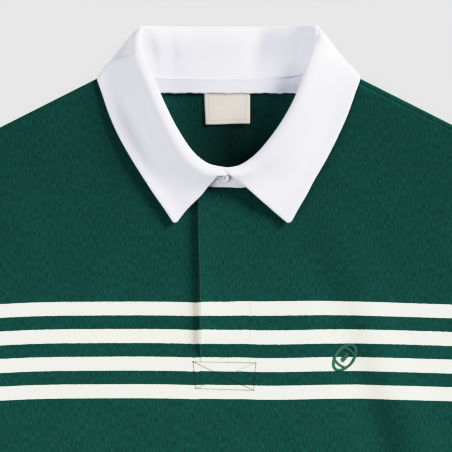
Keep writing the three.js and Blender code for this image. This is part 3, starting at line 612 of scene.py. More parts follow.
# Pale, so that the placket's edge stitching is also a painted highlight along its free edge
EDGE_HIGHLIGHT_THREAD = thread("pale green polyester thread as painted edge highlight", "#93a69d", "#778b81")
MOTIF_THREAD = thread("bright green polyester thread", "#428672", "#276352")
WHITE_THREAD = thread("white polyester thread", "#f7f7fa", "#dfe0e6")
BUTTON_RESIN = polyester_button()

# Geometry Nodes


def new_tree(name, *numbers):
    """A geometry tree with a named input for each size, and a material."""
    tree = bpy.data.node_groups.new(name, "GeometryNodeTree")
    face = tree.interface
    face.new_socket("Geometry", in_out="INPUT", socket_type="NodeSocketGeometry")
    for number in numbers:
        face.new_socket(number, in_out="INPUT", socket_type="NodeSocketFloat")
    face.new_socket("Material", in_out="INPUT", socket_type="NodeSocketMaterial")
    face.new_socket("Geometry", in_out="OUTPUT", socket_type="NodeSocketGeometry")
    return tree, node(tree, "NodeGroupInput").outputs


def stitch_tree():
    """Lockstitches along the edges of a mesh: one small spindle of thread for each, lying along the seam."""
    tree, given = new_tree("Stitches", "Pitch", "Length", "Width")
    line = node(tree, "GeometryNodeMeshToCurve", {0: given["Geometry"]})
    spaced = node(tree, "GeometryNodeResampleCurve", {0: line, "Length": given["Pitch"]}, mode="LENGTH")
    spindle = node(tree, "GeometryNodeMeshUVSphere", {"Segments": 6, "Rings": 5, "Radius": 0.5})
    size = node(tree, "ShaderNodeCombineXYZ", {0: given["Length"], 1: given["Width"], 2: given["Width"]})
    way = node(tree, "GeometryNodeInputTangent")
    along = node(tree, "FunctionNodeAlignRotationToVector", {"Vector": way}, axis="X")
    many = node(tree, "GeometryNodeInstanceOnPoints",
                {"Points": spaced, "Instance": spindle, "Rotation": along, "Scale": size})
    real = node(tree, "GeometryNodeRealizeInstances", {0: many})
    node(tree, "NodeGroupOutput",
         {0: node(tree, "GeometryNodeSetMaterial", {0: real, "Material": given["Material"]})})
    return tree


def thread_tree():
    """Thread laid along the edges of a mesh in one run, as embroidery lays it."""
    tree, given = new_tree("Laid thread", "Width")
    line = node(tree, "GeometryNodeMeshToCurve", {0: given["Geometry"]})
    half = node(tree, MATH, {0: given["Width"], 1: 2.0}, operation="DIVIDE")
    section = node(tree, "GeometryNodeCurvePrimitiveCircle", {"Resolution": 5, "Radius": half})
    tube = node(tree, "GeometryNodeCurveToMesh", {0: line, 1: section, "Fill Caps": True})
    real = node(tree, "GeometryNodeRealizeInstances", {0: tube})
    node(tree, "NodeGroupOutput",
         {0: node(tree, "GeometryNodeSetMaterial", {0: real, "Material": given["Material"]})})
    return tree


def rib_tree():
    """Ribs raised on the outer face of a cuff, from the share of the way round that each point holds."""
    tree, given = new_tree("Ribs", "Ribs", "Height")
    way = node(tree, "GeometryNodeInputNamedAttribute", {"Name": "rib_way"}, data_type="FLOAT")
    outer = node(tree, "GeometryNodeInputNamedAttribute", {"Name": "rib_face"}, data_type="FLOAT")
    turn = node(tree, MATH, {0: way, 1: given["Ribs"]}, operation="MULTIPLY")
    turn = node(tree, MATH, {0: turn, 1: math.tau}, operation="MULTIPLY")
    wave = node(tree, MATH, {0: turn}, operation="COSINE")
    wave = node(tree, MATH, {0: wave, 1: 0.5, 2: 0.5}, operation="MULTIPLY_ADD")
    wave = node(tree, MATH, {0: wave, 1: 0.7}, operation="POWER")
    rise = node(tree, MATH, {0: wave, 1: outer}, operation="MULTIPLY")
    rise = node(tree, MATH, {0: rise, 1: given["Height"]}, operation="MULTIPLY")
    normal = node(tree, "GeometryNodeInputNormal")
    offset = node(tree, "ShaderNodeVectorMath", {0: normal, "Scale": rise}, operation="SCALE")
    raised = node(tree, "GeometryNodeSetPosition", {0: given["Geometry"], "Offset": offset})
    real = node(tree, "GeometryNodeRealizeInstances", {0: raised})
    node(tree, "NodeGroupOutput",
         {0: node(tree, "GeometryNodeSetMaterial", {0: real, "Material": given["Material"]})})
    return tree


def grown(piece, tree, **sizes):
    """The mesh that a geometry tree makes of a piece, as plain mesh, with the tree taken off."""
    modifier = piece.modifiers.new(tree.name, "NODES")
    modifier.node_group = tree
    for socket in tree.interface.items_tree:
        if socket.in_out == "INPUT" and socket.name in sizes:
            modifier[socket.identifier] = sizes[socket.name]
    evaluated = piece.evaluated_get(bpy.context.evaluated_depsgraph_get())
    mesh = bpy.data.meshes.new_from_object(evaluated)
    piece.modifiers.remove(modifier)
    piece.data = mesh
    mesh.name = piece.name
    mesh.polygons.foreach_set("use_smooth", [True] * len(mesh.polygons))
    return piece


def lines_piece(name, paths):
    """An object whose mesh is only edges, one run for each path."""
    mesh = bpy.data.meshes.new(name)
    edges, start = [], 0
    for path in paths:
        edges += [(start + i, start + i + 1) for i in range(len(path) - 1)]
        start += len(path)
    mesh.from_pydata(to_frame(np.concatenate(paths)).tolist(), edges, [])
    made = bpy.data.objects.new(name, mesh)
    scene.collection.objects.link(made)
    return made


STITCHES = stitch_tree()
LAID_THREAD = thread_tree()
RIBS = rib_tree()


def stitched(name, paths, material, pitch=3.2, length=2.6, width=0.55):
    """Rows of stitches along paths on the cloth."""
    piece = grown(lines_piece(name, paths), STITCHES, Pitch=pitch * MM, Length=length * MM, Width=width * MM,
                  Material=material)
    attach(piece, "root")
    return piece


# Body panels

FRONT_SIDE_ROWS, FRONT_ARMHOLE_ROWS = 84, 92
ACROSS_FRONT = 1 - (1 - np.linspace(0, 1, 74)) ** 1.12
ACROSS_BACK = np.linspace(0, 1, 56)


def panel_sections(neck, side_rows, armhole_rows):
    """Where the sections of half a body panel start and end, and the loft at both, from hem to shoulder."""
    share = np.arange(side_rows) / side_rows
    side = spline(SIDE[:, :2], share, even=False)
    inner_y = spline(SIDE[:, 2:3], share)[:, 0]
    centre_loft = spline(SIDE[:, 3:4], share)[:, 0]
    last_y, last_loft = SIDE[-1, 2], SIDE[-1, 3]
    fine = spline(neck, np.linspace(0, 1, 400), even=False)
    neck_length = np.linalg.norm(np.diff(fine, axis=0), axis=1).sum()
    straight = neck[0][1] - last_y
    up = np.linspace(0, 1, armhole_rows + 1)
    way = up * (straight + neck_length)
    round_neck = evenly(neck, np.clip((way - straight) / neck_length, 0, 1))
    centre = np.stack([np.zeros(len(way)), last_y + way], -1)
    above = np.where((way < straight)[:, None], centre, round_neck)
    inner = np.concatenate([np.stack([np.zeros(side_rows), inner_y], -1), above])
    outer = np.concatenate([side, spline(ARMHOLE[:, :2], up, even=False)])
    inner_loft = np.concatenate([centre_loft, last_loft + (SHOULDER_LOFT - last_loft) * smoothstep(up, 0.5, 1)])
    outer_loft = np.concatenate([np.full(side_rows, SEAM_LOFT), spline(ARMHOLE[:, 2:3], up)[:, 0]])
    return inner, outer, inner_loft, outer_loft


def inset_shoulder(inner, outer, inset):
    """Moves a panel's shoulder seam in from the shoulder's edge."""
    out = np.array([math.sin(SHOULDER_SLOPE), math.cos(SHOULDER_SLOPE)])
    inner[-1] -= out * inset
    outer[-1] -= out * inset


def hem_thickness(y):
    """The cloth is turned up at the hem and lies double there."""
    return JERSEY + 0.5 * (1 - smoothstep(y, HEM_Y + HEM_DEPTH - 1.5, HEM_Y + HEM_DEPTH + 1.5))


def front_half(side):
    inner, outer, inner_loft, outer_loft = panel_sections(FRONT_NECK, FRONT_SIDE_ROWS, FRONT_ARMHOLE_ROWS)
    inset_shoulder(inner, outer, SHOULDER_WRAP[side] + SEAM / 2)
    opening = OPENING_HALF_WIDTH * smoothstep(inner[:, 1], OPENING_BOTTOM - 4, OPENING_BOTTOM + 4)
    inner[:, 0] = np.maximum(inner[:, 0], opening)
    u = ACROSS_FRONT[None, :]
    x = side * (inner[:, :1] + (outer[:, :1] - inner[:, :1]) * u)
    y = inner[:, 1:] + (outer[:, 1:] - inner[:, 1:]) * u
    loft = outer_loft[:, None] + (inner_loft - outer_loft)[:, None] * (1 - u ** 4)
    rows = np.stack([x, y, front_height(x, y, loft)], -1)
    cut = np.stack([x, y + sag(x, y)], -1)
    if side < 0:
        rows, cut = rows[:, ::-1], cut[:, ::-1]
    return sheet(settled(rows), cut, hem_thickness(rows[..., 1]))


def back_half(side):
    inner, outer, _, _ = panel_sections(BACK_NECK, 60, 70)
    radius = (JERSEY + SEAM + SHOULDER_LOFT) / 2
    out = np.array([side * math.sin(SHOULDER_SLOPE), math.cos(SHOULDER_SLOPE), 0])
    inset_shoulder(inner, outer, radius + JERSEY / 2)
    u = ACROSS_BACK[None, :]
    x = side * (inner[:, :1] + (outer[:, :1] - inner[:, :1]) * u)
    y = inner[:, 1:] + (outer[:, 1:] - inner[:, 1:]) * u
    rows = np.stack([x, y, back_height(y)], -1)
    seam, turned = rows[-1], []
    turns = 8
    over = SHOULDER_WRAP[side] - SEAM / 2 - radius - JERSEY / 2
    for step in range(1, turns + 3):
        turn = math.pi * min(1.0, step / turns)
        beyond = max(0, step - turns) / 2
        turned.append(seam + out * (radius * math.sin(turn) - over * beyond)
                      + np.array([0, 0, radius * (1 - math.cos(turn))]))
    rows = np.concatenate([rows, np.stack(turned)])
    past = np.linspace(0, 1, turns + 3)[1:, None] * (math.pi * radius + over)
    cut = np.stack([rows[..., 0], rows[..., 1] + sag(rows[..., 0], rows[..., 1])], -1)
    cut[-turns - 2:, :, 1] = cut[-turns - 3, :, 1] + past
    if side < 0:
        rows, cut = rows[:, ::-1], cut[:, ::-1]
    return sheet(settled(rows), cut, hem_thickness(rows[..., 1]))


front_cloth = joined(front_half(-1), front_half(1))
front = wall("front_panel", front_cloth, GREEN_BODY)
declare(front, ["front"])

back_cloth = joined(back_half(-1), back_half(1))
# The back panel's upper face, seen inside the neck, carries the reverse's painted shade
back = wall("back_panel", back_cloth, GREEN_BODY, reverse=GREEN_REVERSE_PAINTED_SHADE)
declare(back, ["back"])

# Sleeves and cuffs

TURN_STEPS = 6


def flat_ring(place, inward, height, lower, steps):
    """One ring of a flattened tube: along the lower layer, round the top edge, back along the upper layer and
    round the under edge. Place gives the plan at shares of the width, and height the upper layer's middle."""
    ends = place(np.array([0.0, 1.0]))
    lift = height(np.array([0.0, 1.0]), ends)
    margin = ((lift[0] - lower) / 2 + lower) / np.linalg.norm(ends[0] - ends[1])
    flat = margin + (1 - 2 * margin) * np.arange(1, steps) / steps
    across = place(flat)

    def turn(end, share):
        radius = (lift[end] - lower) / 2
        angle = math.pi * np.arange(TURN_STEPS + 1) / TURN_STEPS
        rise = 1 + np.cos(angle) * (1 if share == 0 else -1)
        middle = ends[end] + inward[end] * (radius + lower)
        plan = middle - np.outer(np.sin(angle), inward[end]) * radius
        return np.column_stack([plan, lower + radius * rise])

    under = np.column_stack([across, np.full(len(flat), lower)])
    upper = np.column_stack([across, height(flat, across)])[::-1]
    ring = np.concatenate([under, turn(1, 1), upper, turn(0, 0)])
    return np.concatenate([ring, ring[:1]])


SLEEVE_ROWS, SLEEVE_STEPS = 76, 60


def sleeve_rows(side):
    share = np.linspace(0, 1, SLEEVE_ROWS + 1)
    top = spline(SLEEVE[:, :2], share, even=False)
    under = spline(SLEEVE[:, 2:4], share, even=False)
    loft = spline(SLEEVE[:, 4:5], share)[:, 0]
    top_way = unit(np.gradient(top, axis=0))
    under_way = unit(np.gradient(under, axis=0))
    rows = []
    for j, part in enumerate(share):
        hold = 1 - smoothstep(part, 0, 0.4)

        def place(q):
            curved = spline(ARMHOLE[:, :2], q, even=False)
            chord = ARMHOLE[0, :2] + (ARMHOLE[-1, :2] - ARMHOLE[0, :2]) * q[:, None]
            point = under[j] + (top[j] - under[j]) * q[:, None] + (curved - chord) * hold
            if j == 0:
                point[:, 0] += 2 * SEAM
            return point * (side, 1)

        def height(q, point):
            puff = SHOULDER_LOFT + (loft[j] - SHOULDER_LOFT) * np.sin(math.pi * np.clip(q, 0, 1)) ** 0.6
            puff = puff + (spline(ARMHOLE[:, 2:3], q)[:, 0] - puff) * hold ** 3
            folds = ridges(point[:, 0], point[:, 1], CREASES) + ridges(point[:, 0], point[:, 1], SOFT_FOLDS)
            return JERSEY / 2 + JERSEY + SEAM + puff + folds

        inward = [unit(np.array([-way[1] * turn * side, way[0] * turn]))
                  for way, turn in ((under_way[j], 1), (top_way[j], -1))]
        rows.append(flat_ring(place, inward, height, JERSEY / 2, SLEEVE_STEPS))
    return np.stack(rows)


def tube_cut(rows):
    """The flat cut of a tube: across is the way round it, and down the way along it."""
    return np.stack([steps_along(rows, 1), steps_along(rows, 0).mean(axis=1, keepdims=True) +
                     np.zeros(rows.shape[:2])], -1)


def sleeve(side, name, node_name):
    rows = settled(sleeve_rows(side))
    cut = tube_cut(rows)
    if side > 0:
        rows, cut = rows[::-1], cut[::-1]
    cloth = sheet(rows, cut, JERSEY)
    made = wall(name, cloth, GREEN_SLEEVE)
    declare(made, [node_name])
    return cloth


def cuff(side, name, node_name):
    wrist = SLEEVE[-1]
    top, under = wrist[:2], wrist[2:4]
    across = unit(top - under)
    down = np.array([across[1], -across[0]])
    lower = RIB_CLOTH / 2
    steps = CUFF["ribs"] * 8
    rows = []
    for way in np.linspace(2 * SEAM, CUFF["length"], 26):
        waist = CUFF["width"] * (1 - 0.03 * math.sin(math.pi * way / CUFF["length"]))
        centre = (top + under) / 2 + down * way

        def place(q):
            return (centre + across * waist * (q[:, None] - 0.5)) * (side, 1)

        def height(q, point):
            rise = SHOULDER_LOFT + (CUFF["loft"] - SHOULDER_LOFT) * np.sin(math.pi * np.clip(q, 0, 1)) ** 0.5
            return lower + RIB_CLOTH + SEAM + rise

        inward = [across * (side, 1), -across * (side, 1)]
        rows.append(flat_ring(place, inward, height, lower, steps))
    rows = np.stack(rows)
    cut = tube_cut(rows)
    if side > 0:
        rows, cut = rows[::-1], cut[::-1]
    cloth = sheet(rows, cut, RIB_CLOTH)
    made = wall(name, cloth, GREEN_RIB)
    # The share of the way round of each point, and nothing on the inner face so that it stays plain
    _, first = np.unique(np.round(cloth["place"] / 0.01).astype(int), axis=0, return_index=True)
    girth = cut[0, -1, 0]
    way = cloth["cut"][first, 0] / girth
    ends = np.abs(cloth["cut"][first, 1] / CUFF["length"] - 0.5) * 2
    count, total = len(first), len(made.data.vertices)
    for label, values in (("rib_way", way), ("rib_face", 1 - smoothstep(ends, 0.93, 1.0))):
        data = np.zeros(total, np.float32)
        data[:count] = values
        made.data.attributes.new(label, "FLOAT", "POINT").data.foreach_set("value", data)
    made = grown(made, RIBS, Ribs=float(2 * CUFF["ribs"]), Height=CUFF["rib_height"] * MM, Material=GREEN_RIB)
    declare(made, [node_name])


left_sleeve = sleeve(-1, "sleeve_left_cloth", "sleeve_left")
right_sleeve = sleeve(1, "sleeve_right_cloth", "sleeve_right")
cuff(-1, "cuff_left_rib", "cuff_left")
cuff(1, "cuff_right_rib", "cuff_right")

# Plackets


def front_face(x, y):
    """The height of the front panel's upper face near the centre line."""
    return front_height(x, y, SIDE[-1, 3]) + JERSEY / 2


def placket_left(y):
    """The free edge leans a little to the right on its way down."""
    return PLACKET["left"] - 0.4 + 1.4 * smoothstep(-y, 110, 180)


def placket_layer(x, y):
    """Middle height and thickness of the folded strip. It stands away along its free edge, is sewn flat along the
    right one, and is pressed into the front where the box stitch holds it down."""
    share = (x - placket_left(y)) / (PLACKET["right"] - placket_left(y))
    free = smoothstep(y, -229, -206)
    thick = 0.3 + free * 1.9 * (1 - share)
    top = front_face(x, y) + 0.12 + free * (thick - 0.2) + free * PLACKET["lift"] * (1 - share) ** 2
    return top - thick / 2, thick


def chest_top(x, y):
    """The highest cloth at a place near the placket."""
    on_placket = (x > placket_left(y)) & (x < PLACKET["right"]) & (y > PLACKET["bottom"])
    middle, thick = placket_layer(x, y)
    return np.where(on_placket, middle + thick / 2, front_face(x, y))


down = np.concatenate([np.linspace(PLACKET["bottom"], PLACKET["bottom"] + 4, 6),
                       np.linspace(PLACKET["bottom"] + 6, PLACKET["top"], 84)])
over = np.concatenate([np.linspace(0, 0.06, 4), np.linspace(0.1, 0.94, 20), np.linspace(0.97, 1, 3)])
over, y = np.meshgrid(over, down)
x = placket_left(y) + over * (PLACKET["right"] - placket_left(y))
middle, thick = placket_layer(x, y)
upper_cloth = sheet(np.stack([x, y, middle], -1), np.stack([x, y + sag(x, y)], -1), thick)
upper = wall("placket_upper_strip", upper_cloth, GREEN_BODY, edge=0.5)
declare(upper, ["placket_upper"])

half = OPENING_HALF_WIDTH - 2 * SEAM
x, y = np.meshgrid(np.linspace(-half, half, 12), np.linspace(OPENING_BOTTOM + 16, PLACKET["top"] - 1, 60))
under_cloth = sheet(np.stack([x, y, front_face(x, y) - JERSEY / 2], -1), np.stack([x, y], -1), JERSEY)
under = wall("placket_under_strip", under_cloth, GREEN_SLEEVE)
declare(under, ["placket_under"])

# Collar


def collar_curves():
    """The seam, fold, turn and edge all the way round, from the left end at the front to the right end."""
    def one_side(side):
        seam, fold, turn, edge = (COLLAR[:, i:i + 3] * (side, 1, 1) for i in (0, 3, 6, 9))
        seam_lean, fold_lean, edge_lean = COLLAR[:, 15], COLLAR[:, 16], COLLAR[:, 17]
        for curve, lean in ((seam, seam_lean), (fold, fold_lean), (turn, (fold_lean + edge_lean) / 2),
                            (edge, edge_lean)):
            curve[:, 0] += lean
        fold[:, 2] += COLLAR[:, 18] * (1.0 if side > 0 else 0.2)
        return np.concatenate([seam, fold, turn, edge, COLLAR[:, 12:15]], axis=1)
    return np.concatenate([one_side(-1), one_side(1)[:-1][::-1]])


COLLAR_CURVES = collar_curves()


def collar_places(rounds, downs):
    """Points of the collar's middle, at shares of the way round the neck and down each section, which goes from
    the seam up the stand, over the fold and down the fall."""
    at = spline(COLLAR_CURVES, rounds)
    seam, fold, turn, edge, shape = (at[:, i:i + 3] for i in (0, 3, 6, 9, 12))
    up = [seam + (fold - seam) * share + np.outer(shape[:, 0] * share ** 1.5, (0, 0, 1)) for share in (0.45, 0.84)]
    away = unit((turn - fold) * (1, 1, 0)) * shape[:, 2:3]
    crest = fold + away
    crest[:, 2] = fold[:, 2] + shape[:, 1]
    rows = np.stack([seam, up[0], up[1], fold, crest, (crest + turn) / 2, turn, edge], 1)
    points = spline(rows, downs, even=False)
    points[..., 2] = np.maximum(points[..., 2], COLLAR_CLOTH / 2)
    return points


def rounded_tip(rows, radius):
    """Turns the first row's last corner from square to round."""
    along = steps_along(rows, 0)
    from_edge = steps_along(rows[:, ::-1], 1)[:, ::-1]
    dx, dy = radius - along, radius - from_edge
    inside = (dx > 0) & (dy > 0)
    pull = np.where(inside, np.maximum(dx, dy) / np.maximum(np.hypot(dx, dy), 1e-6), 1)
    along_way = unit(np.gradient(rows, axis=0))
    down_way = unit(np.gradient(rows, axis=1))
    move = ((1 - pull) * dx)[..., None] * along_way - ((1 - pull) * dy)[..., None] * down_way
    return rows + np.where(inside[..., None], move, 0)


ends = np.linspace(0, 1 / 30, 26)
COLLAR_ROUNDS = np.concatenate([ends, np.linspace(1 / 30, 29 / 30, 340)[1:-1], 1 - ends[::-1]])
COLLAR_DOWNS = np.concatenate([np.linspace(0, 0.4, 12)[:-1], np.linspace(0.4, 0.6, 12)[:-1],
                               np.linspace(0.6, 6 / 7, 14)[:-1], np.linspace(6 / 7, 0.975, 14), [0.985, 0.993, 1]])
TIP_RADIUS = 3.0
ALLOWANCE = 5.5

collar_rows = collar_places(COLLAR_ROUNDS, COLLAR_DOWNS)
collar_rows = rounded_tip(collar_rows, TIP_RADIUS)
collar_rows = rounded_tip(collar_rows[::-1], TIP_RADIUS)[::-1]
from_front = np.minimum(steps_along(collar_rows, 0), steps_along(collar_rows[::-1], 0)[::-1])
from_edge = steps_along(collar_rows[:, ::-1], 1)[:, ::-1]
on_fall = smoothstep(COLLAR_DOWNS, 0.5, 0.6)[None, :]
# The stand is a little creased at both ends of the back, and hollow where its right part begins to rise
STAND_FOLDS = [
    (-55, 15, -59, 58, 7, 0.9), (-43, 16, -47, 58, 7, -0.7), (18, 13, 35, 66, 15, -2.6), (64, 18, 69, 58, 6, 0.8),
]
standing = COLLAR_DOWNS < 3 / 7
collar_rows[:, standing, 2] += ridges(collar_rows[:, standing, 0], collar_rows[:, standing, 1], STAND_FOLDS)
# The fold's two ends meet a little left of the middle. The left leaf runs on there under the right one, as a flat
# strip over the button's upper half.
MEETING = {
    "shift": 4.4, "reach": 11.0, "strip_right": 6.8, "strip_depth": 8.8, "strip_y": -69.5, "lift": 1.8, "under": 2.2,
    "lain": 3.0,
}
from_seam = steps_along(collar_rows, 1)
from_fold = from_seam - from_seam[:, np.argmin(np.abs(COLLAR_DOWNS - 3 / 7))][:, None]
from_left, from_right = steps_along(collar_rows, 0), steps_along(collar_rows[::-1], 0)[::-1]
left_end = 1 - smoothstep(from_left, 0, 1.5 * MEETING["reach"])
right_end = 1 - smoothstep(from_right, 0, MEETING["reach"])
# Both front edges bow a little to the left just below the meeting, and the stand's left end hangs lower
left_bow = smoothstep(from_fold, 5, 11) * (1 - smoothstep(from_fold, 20, 38)) * (1 - smoothstep(from_left, 0, 24))
right_bow = np.exp(-((from_fold - 12) / 6) ** 2) * (1 - smoothstep(from_right, 0, 24))
collar_rows[..., 0] -= 1.8 * left_bow + 2.0 * right_bow
collar_rows[..., 1] -= 1.5 * (1 - smoothstep(from_seam, 0, 9)) * np.exp(-((collar_rows[..., 0] + 18) / 11) ** 2)
near_fold = smoothstep(from_fold, -8, 0) * (1 - smoothstep(from_fold, 0, 11))
roll = smoothstep(from_fold, -4, 0) * (1 - smoothstep(from_fold, 8, 16)) * np.maximum(left_end, right_end)
strip = smoothstep(from_fold, -4, -1) * (1 - smoothstep(from_fold, MEETING["strip_depth"], 10.4)) * left_end
level = smoothstep(from_fold, 5.5, 8.2) * (1 - smoothstep(from_fold, 10.4, 14)) * left_end ** 2
collar_rows[..., 1] += level * (MEETING["strip_y"] - collar_rows[:1, :, 1])
collar_rows[..., 0] -= MEETING["shift"] * near_fold * np.maximum(left_end ** 2, right_end)
collar_rows[..., 0] += strip * np.maximum(MEETING["strip_right"] - collar_rows[:1, :, 0], 0)
collar_rows[..., 2] += MEETING["lift"] * roll - MEETING["under"] * strip
# Both leaves lie down again soon after the fold
lain = smoothstep(from_fold, 8, 20) * (1 - smoothstep(from_fold, 24, 50))
collar_rows[..., 2] -= MEETING["lain"] * lain * (1 - smoothstep(np.minimum(from_left, from_right), 0, 50))
to_edge = np.minimum(np.where(on_fall > 0.5, from_front, 99), from_edge)
# The seam allowance inside the edges makes them thicker, as far as the topstitching, which draws the cloth in
allowance = 0.3 * (1 - smoothstep(to_edge, ALLOWANCE - 0.4, ALLOWANCE + 1.6)) * smoothstep(to_edge, 0, 1.5)
groove = 0.22 * np.exp(-((to_edge - ALLOWANCE) / 0.6) ** 2)
collar_cut = np.stack([steps_along(collar_rows, 0).mean(axis=1, keepdims=True) + np.zeros(collar_rows.shape[:2]),
                       steps_along(collar_rows, 1)], -1)
collar_cloth = sheet(collar_rows, collar_cut, COLLAR_CLOTH + allowance - groove)
collar = wall("collar_twill", collar_cloth, COLLAR_TWILL, edge=0.5)
declare(collar, ["collar"])


def offset_line(level, distance, points):
    """Where a field on the collar first falls to a distance, one point for each row."""
    found = []
    for values, row in zip(level, points):
        below = np.nonzero(values < distance)[0]
        if len(below) and below[0] > 0:
            k = below[0]
            share = (values[k - 1] - distance) / (values[k - 1] - values[k])
            found.append(row[k - 1] + (row[k] - row[k - 1]) * share)
    return found


shape = collar_rows.shape[:2]
collar_top = collar_cloth["outer"].reshape(*shape, 3) + 0.1 * collar_cloth["normal"].reshape(*shape, 3)
fall = COLLAR_DOWNS > 0.62
rows_in = (from_front[:, -1] > ALLOWANCE)
edge_line = offset_line(from_edge[rows_in], ALLOWANCE, collar_top[rows_in])
front_lines = []
for flip in (False, True):
    grid = collar_top[::-1] if flip else collar_top
    level = steps_along(collar_rows[::-1] if flip else collar_rows, 0)
    keep = fall & (from_edge[0] > ALLOWANCE)
    level, grid = level[:80][:, keep].T, grid[:80][:, keep].transpose(1, 0, 2)
    front_lines.append(offset_line(-level, -ALLOWANCE, grid))
stitched("collar_topstitch", [np.array(front_lines[0] + edge_line + front_lines[1][::-1])], WHITE_THREAD,
         pitch=2.8, length=2.3, width=0.5)

# Neck tape and label

rounds = np.linspace(0.4, 0.6, 90)
seam = collar_places(rounds, np.array([0.0]))[:, 0]
stand = collar_places(rounds, np.linspace(0, 1 / 7, 40))
step = np.argmin(np.abs(steps_along(stand, 1).mean(axis=0) - TAPE["above"]))
up = unit(stand[:, step] - seam)
away = COLLAR_CLOTH / 2 + SEAM / 2 + TAPE_CLOTH / 2
foot = seam.copy()
foot[:, 1] = TAPE["foot"]
foot[:, 2] = back_height(TAPE["foot"]) + JERSEY / 2 + LABEL_CLOTH + 2 * SEAM + TAPE_CLOTH / 2
lift = unit(np.stack([np.zeros(len(up)), -up[:, 2], up[:, 1]], -1)) * away
tape_ends = np.stack([foot, seam + lift, stand[:, step] + lift], 1)
tape_rows = spline(tape_ends, np.linspace(0, 1, 12), even=False)
# The tape is drawn in a little at its stitches, so that its lower edge isn't quite straight
tape_rows[:, :3, 1] += (0.25 * np.sin(rounds * 260) + 0.2 * np.sin(rounds * 611))[:, None] * (1, 0.6, 0.3)
tape_rows = tape_rows[:, ::-1]
tape_cut = np.stack([np.broadcast_to(steps_along(tape_rows, 0)[:, :1], tape_rows.shape[:2]),
                     steps_along(tape_rows, 1)], -1)
tape_cloth = sheet(tape_rows, tape_cut, TAPE_CLOTH)
tape = wall("neck_tape_herringbone", tape_cloth, TAPE_WEAVE)
declare(tape, ["neck_tape"])
tape_top = tape_cloth["outer"].reshape(*tape_rows.shape) + 0.1 * tape_cloth["normal"].reshape(*tape_rows.shape)
stitched("neck_tape_stitches", [tape_top[:, 1], tape_top[:, -2]], WHITE_THREAD,
         pitch=2.8, length=2.2, width=0.45)


def label_height(x, y):
    """The label lies on the back panel, and its lower right corner lifts a little."""
    corner = smoothstep(x, LABEL["right"] - 16, LABEL["right"]) * smoothstep(-y, 8, -LABEL["bottom"])
    hang = smoothstep(-y, 4, -LABEL["bottom"])
    return back_height(y) + JERSEY / 2 + SEAM + LABEL_CLOTH / 2 + 1.6 * corner + 0.5 * hang


x, y = np.meshgrid(np.linspace(LABEL["left"], LABEL["right"], 30), np.linspace(LABEL["bottom"], LABEL["top"], 24))
hang = smoothstep(-y, 0, -LABEL["bottom"])
narrowed = x + hang * (0.9 * (x < 0) * (-x / 18) + 0.0)
label_rows = np.stack([narrowed, y + 0.4 * hang * np.sin(x / 9), label_height(x, y)], -1)
label_cloth = sheet(label_rows, np.stack([x - LABEL["left"], y - LABEL["bottom"]], -1), LABEL_CLOTH * 0.8)
label = wall("neck_label_satin", label_cloth, LABEL_WEAVE)
declare(label, ["neck_label"])

# Top button, on the outside of the stand

foot = collar_places([0.0], [0.0])[0, 0]
on_stand = collar_places([0.0], [0.43 * BUTTON["up_the_stand"]])[0, 0]
slope = math.atan2(on_stand[2] - foot[2], on_stand[1] - foot[1])
proud = COLLAR_CLOTH / 2 + SEAM + BUTTON["thickness"] / 2
radius, thickness = BUTTON["diameter"] / 2, BUTTON["thickness"]
# Radius as a share of the button's, and height as a share of its thickness, from the underside's middle
profile = np.array([
    (0, -0.5), (0.5, -0.5), (0.7, -0.48), (0.88, -0.34), (0.97, -0.14), (1.0, 0.06), (0.985, 0.26), (0.94, 0.41),
    (0.88, 0.49), (0.82, 0.5), (0.76, 0.46), (0.70, 0.38), (0.62, 0.31), (0.5, 0.28), (0.2, 0.28), (0, 0.28),
])
turn = np.linspace(0, math.tau, 56, endpoint=False)
ring = np.stack([np.cos(turn), np.sin(turn)], -1)
place = [np.column_stack([ring * r * radius, np.full(len(turn), z * thickness)]) for r, z in profile[1:-1]]
place = np.concatenate([*place, [(0, 0, -thickness / 2)], [(0, 0, 0.28 * thickness)]])
size, levels = len(turn), len(profile) - 2
faces = [(k * size + i, k * size + (i + 1) % size, (k + 1) * size + (i + 1) % size, (k + 1) * size + i)
         for k in range(levels - 1) for i in range(size)]
faces += [(i, levels * size, (i + 1) % size) for i in range(size)]
last = (levels - 1) * size
faces += [(last + i, last + (i + 1) % size, levels * size + 1) for i in range(size)]


def onto_stand(points):
    """From the button's own axes to its place on the stand."""
    points = np.asarray(points, float)
    y = points[:, 1] * math.cos(slope) - points[:, 2] * math.sin(slope)
    z = points[:, 1] * math.sin(slope) + points[:, 2] * math.cos(slope)
    centre = (BUTTON["x"], on_stand[1] - proud * math.sin(slope), on_stand[2] + proud * math.cos(slope))
    return np.column_stack([points[:, 0], y, z]) + centre


button = mesh_piece("top_button", onto_stand(place), faces, BUTTON_RESIN)
HOLE_OFFSET, HOLE_RADIUS = 1.3, 0.52
hole = np.stack([np.cos(turn[::4]), np.sin(turn[::4])], -1) * HOLE_RADIUS
sides = len(hole)
for across in (-1, 1):
    for along in (-1, 1):
        ends = [np.column_stack([hole + (across * HOLE_OFFSET, along * HOLE_OFFSET), np.full(sides, z)])
                for z in (-3.0, 3.0)]
        walls = [(i, (i + 1) % sides, sides + (i + 1) % sides, sides + i) for i in range(sides)]
        caps = [tuple(range(sides))[::-1], tuple(range(sides, 2 * sides))]
        drill = mesh_piece("drill", onto_stand(np.concatenate(ends)), walls + caps, None)
        cut_hole = button.modifiers.new("hole", "BOOLEAN")
        cut_hole.operation, cut_hole.object, cut_hole.solver = "DIFFERENCE", drill, "EXACT"
        drilled = bpy.data.meshes.new_from_object(button.evaluated_get(bpy.context.evaluated_depsgraph_get()))
        button.modifiers.clear()
        button.data = drilled
        bpy.data.objects.remove(drill)
button.data.name = "top_button"
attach(button, "root")
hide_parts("button")

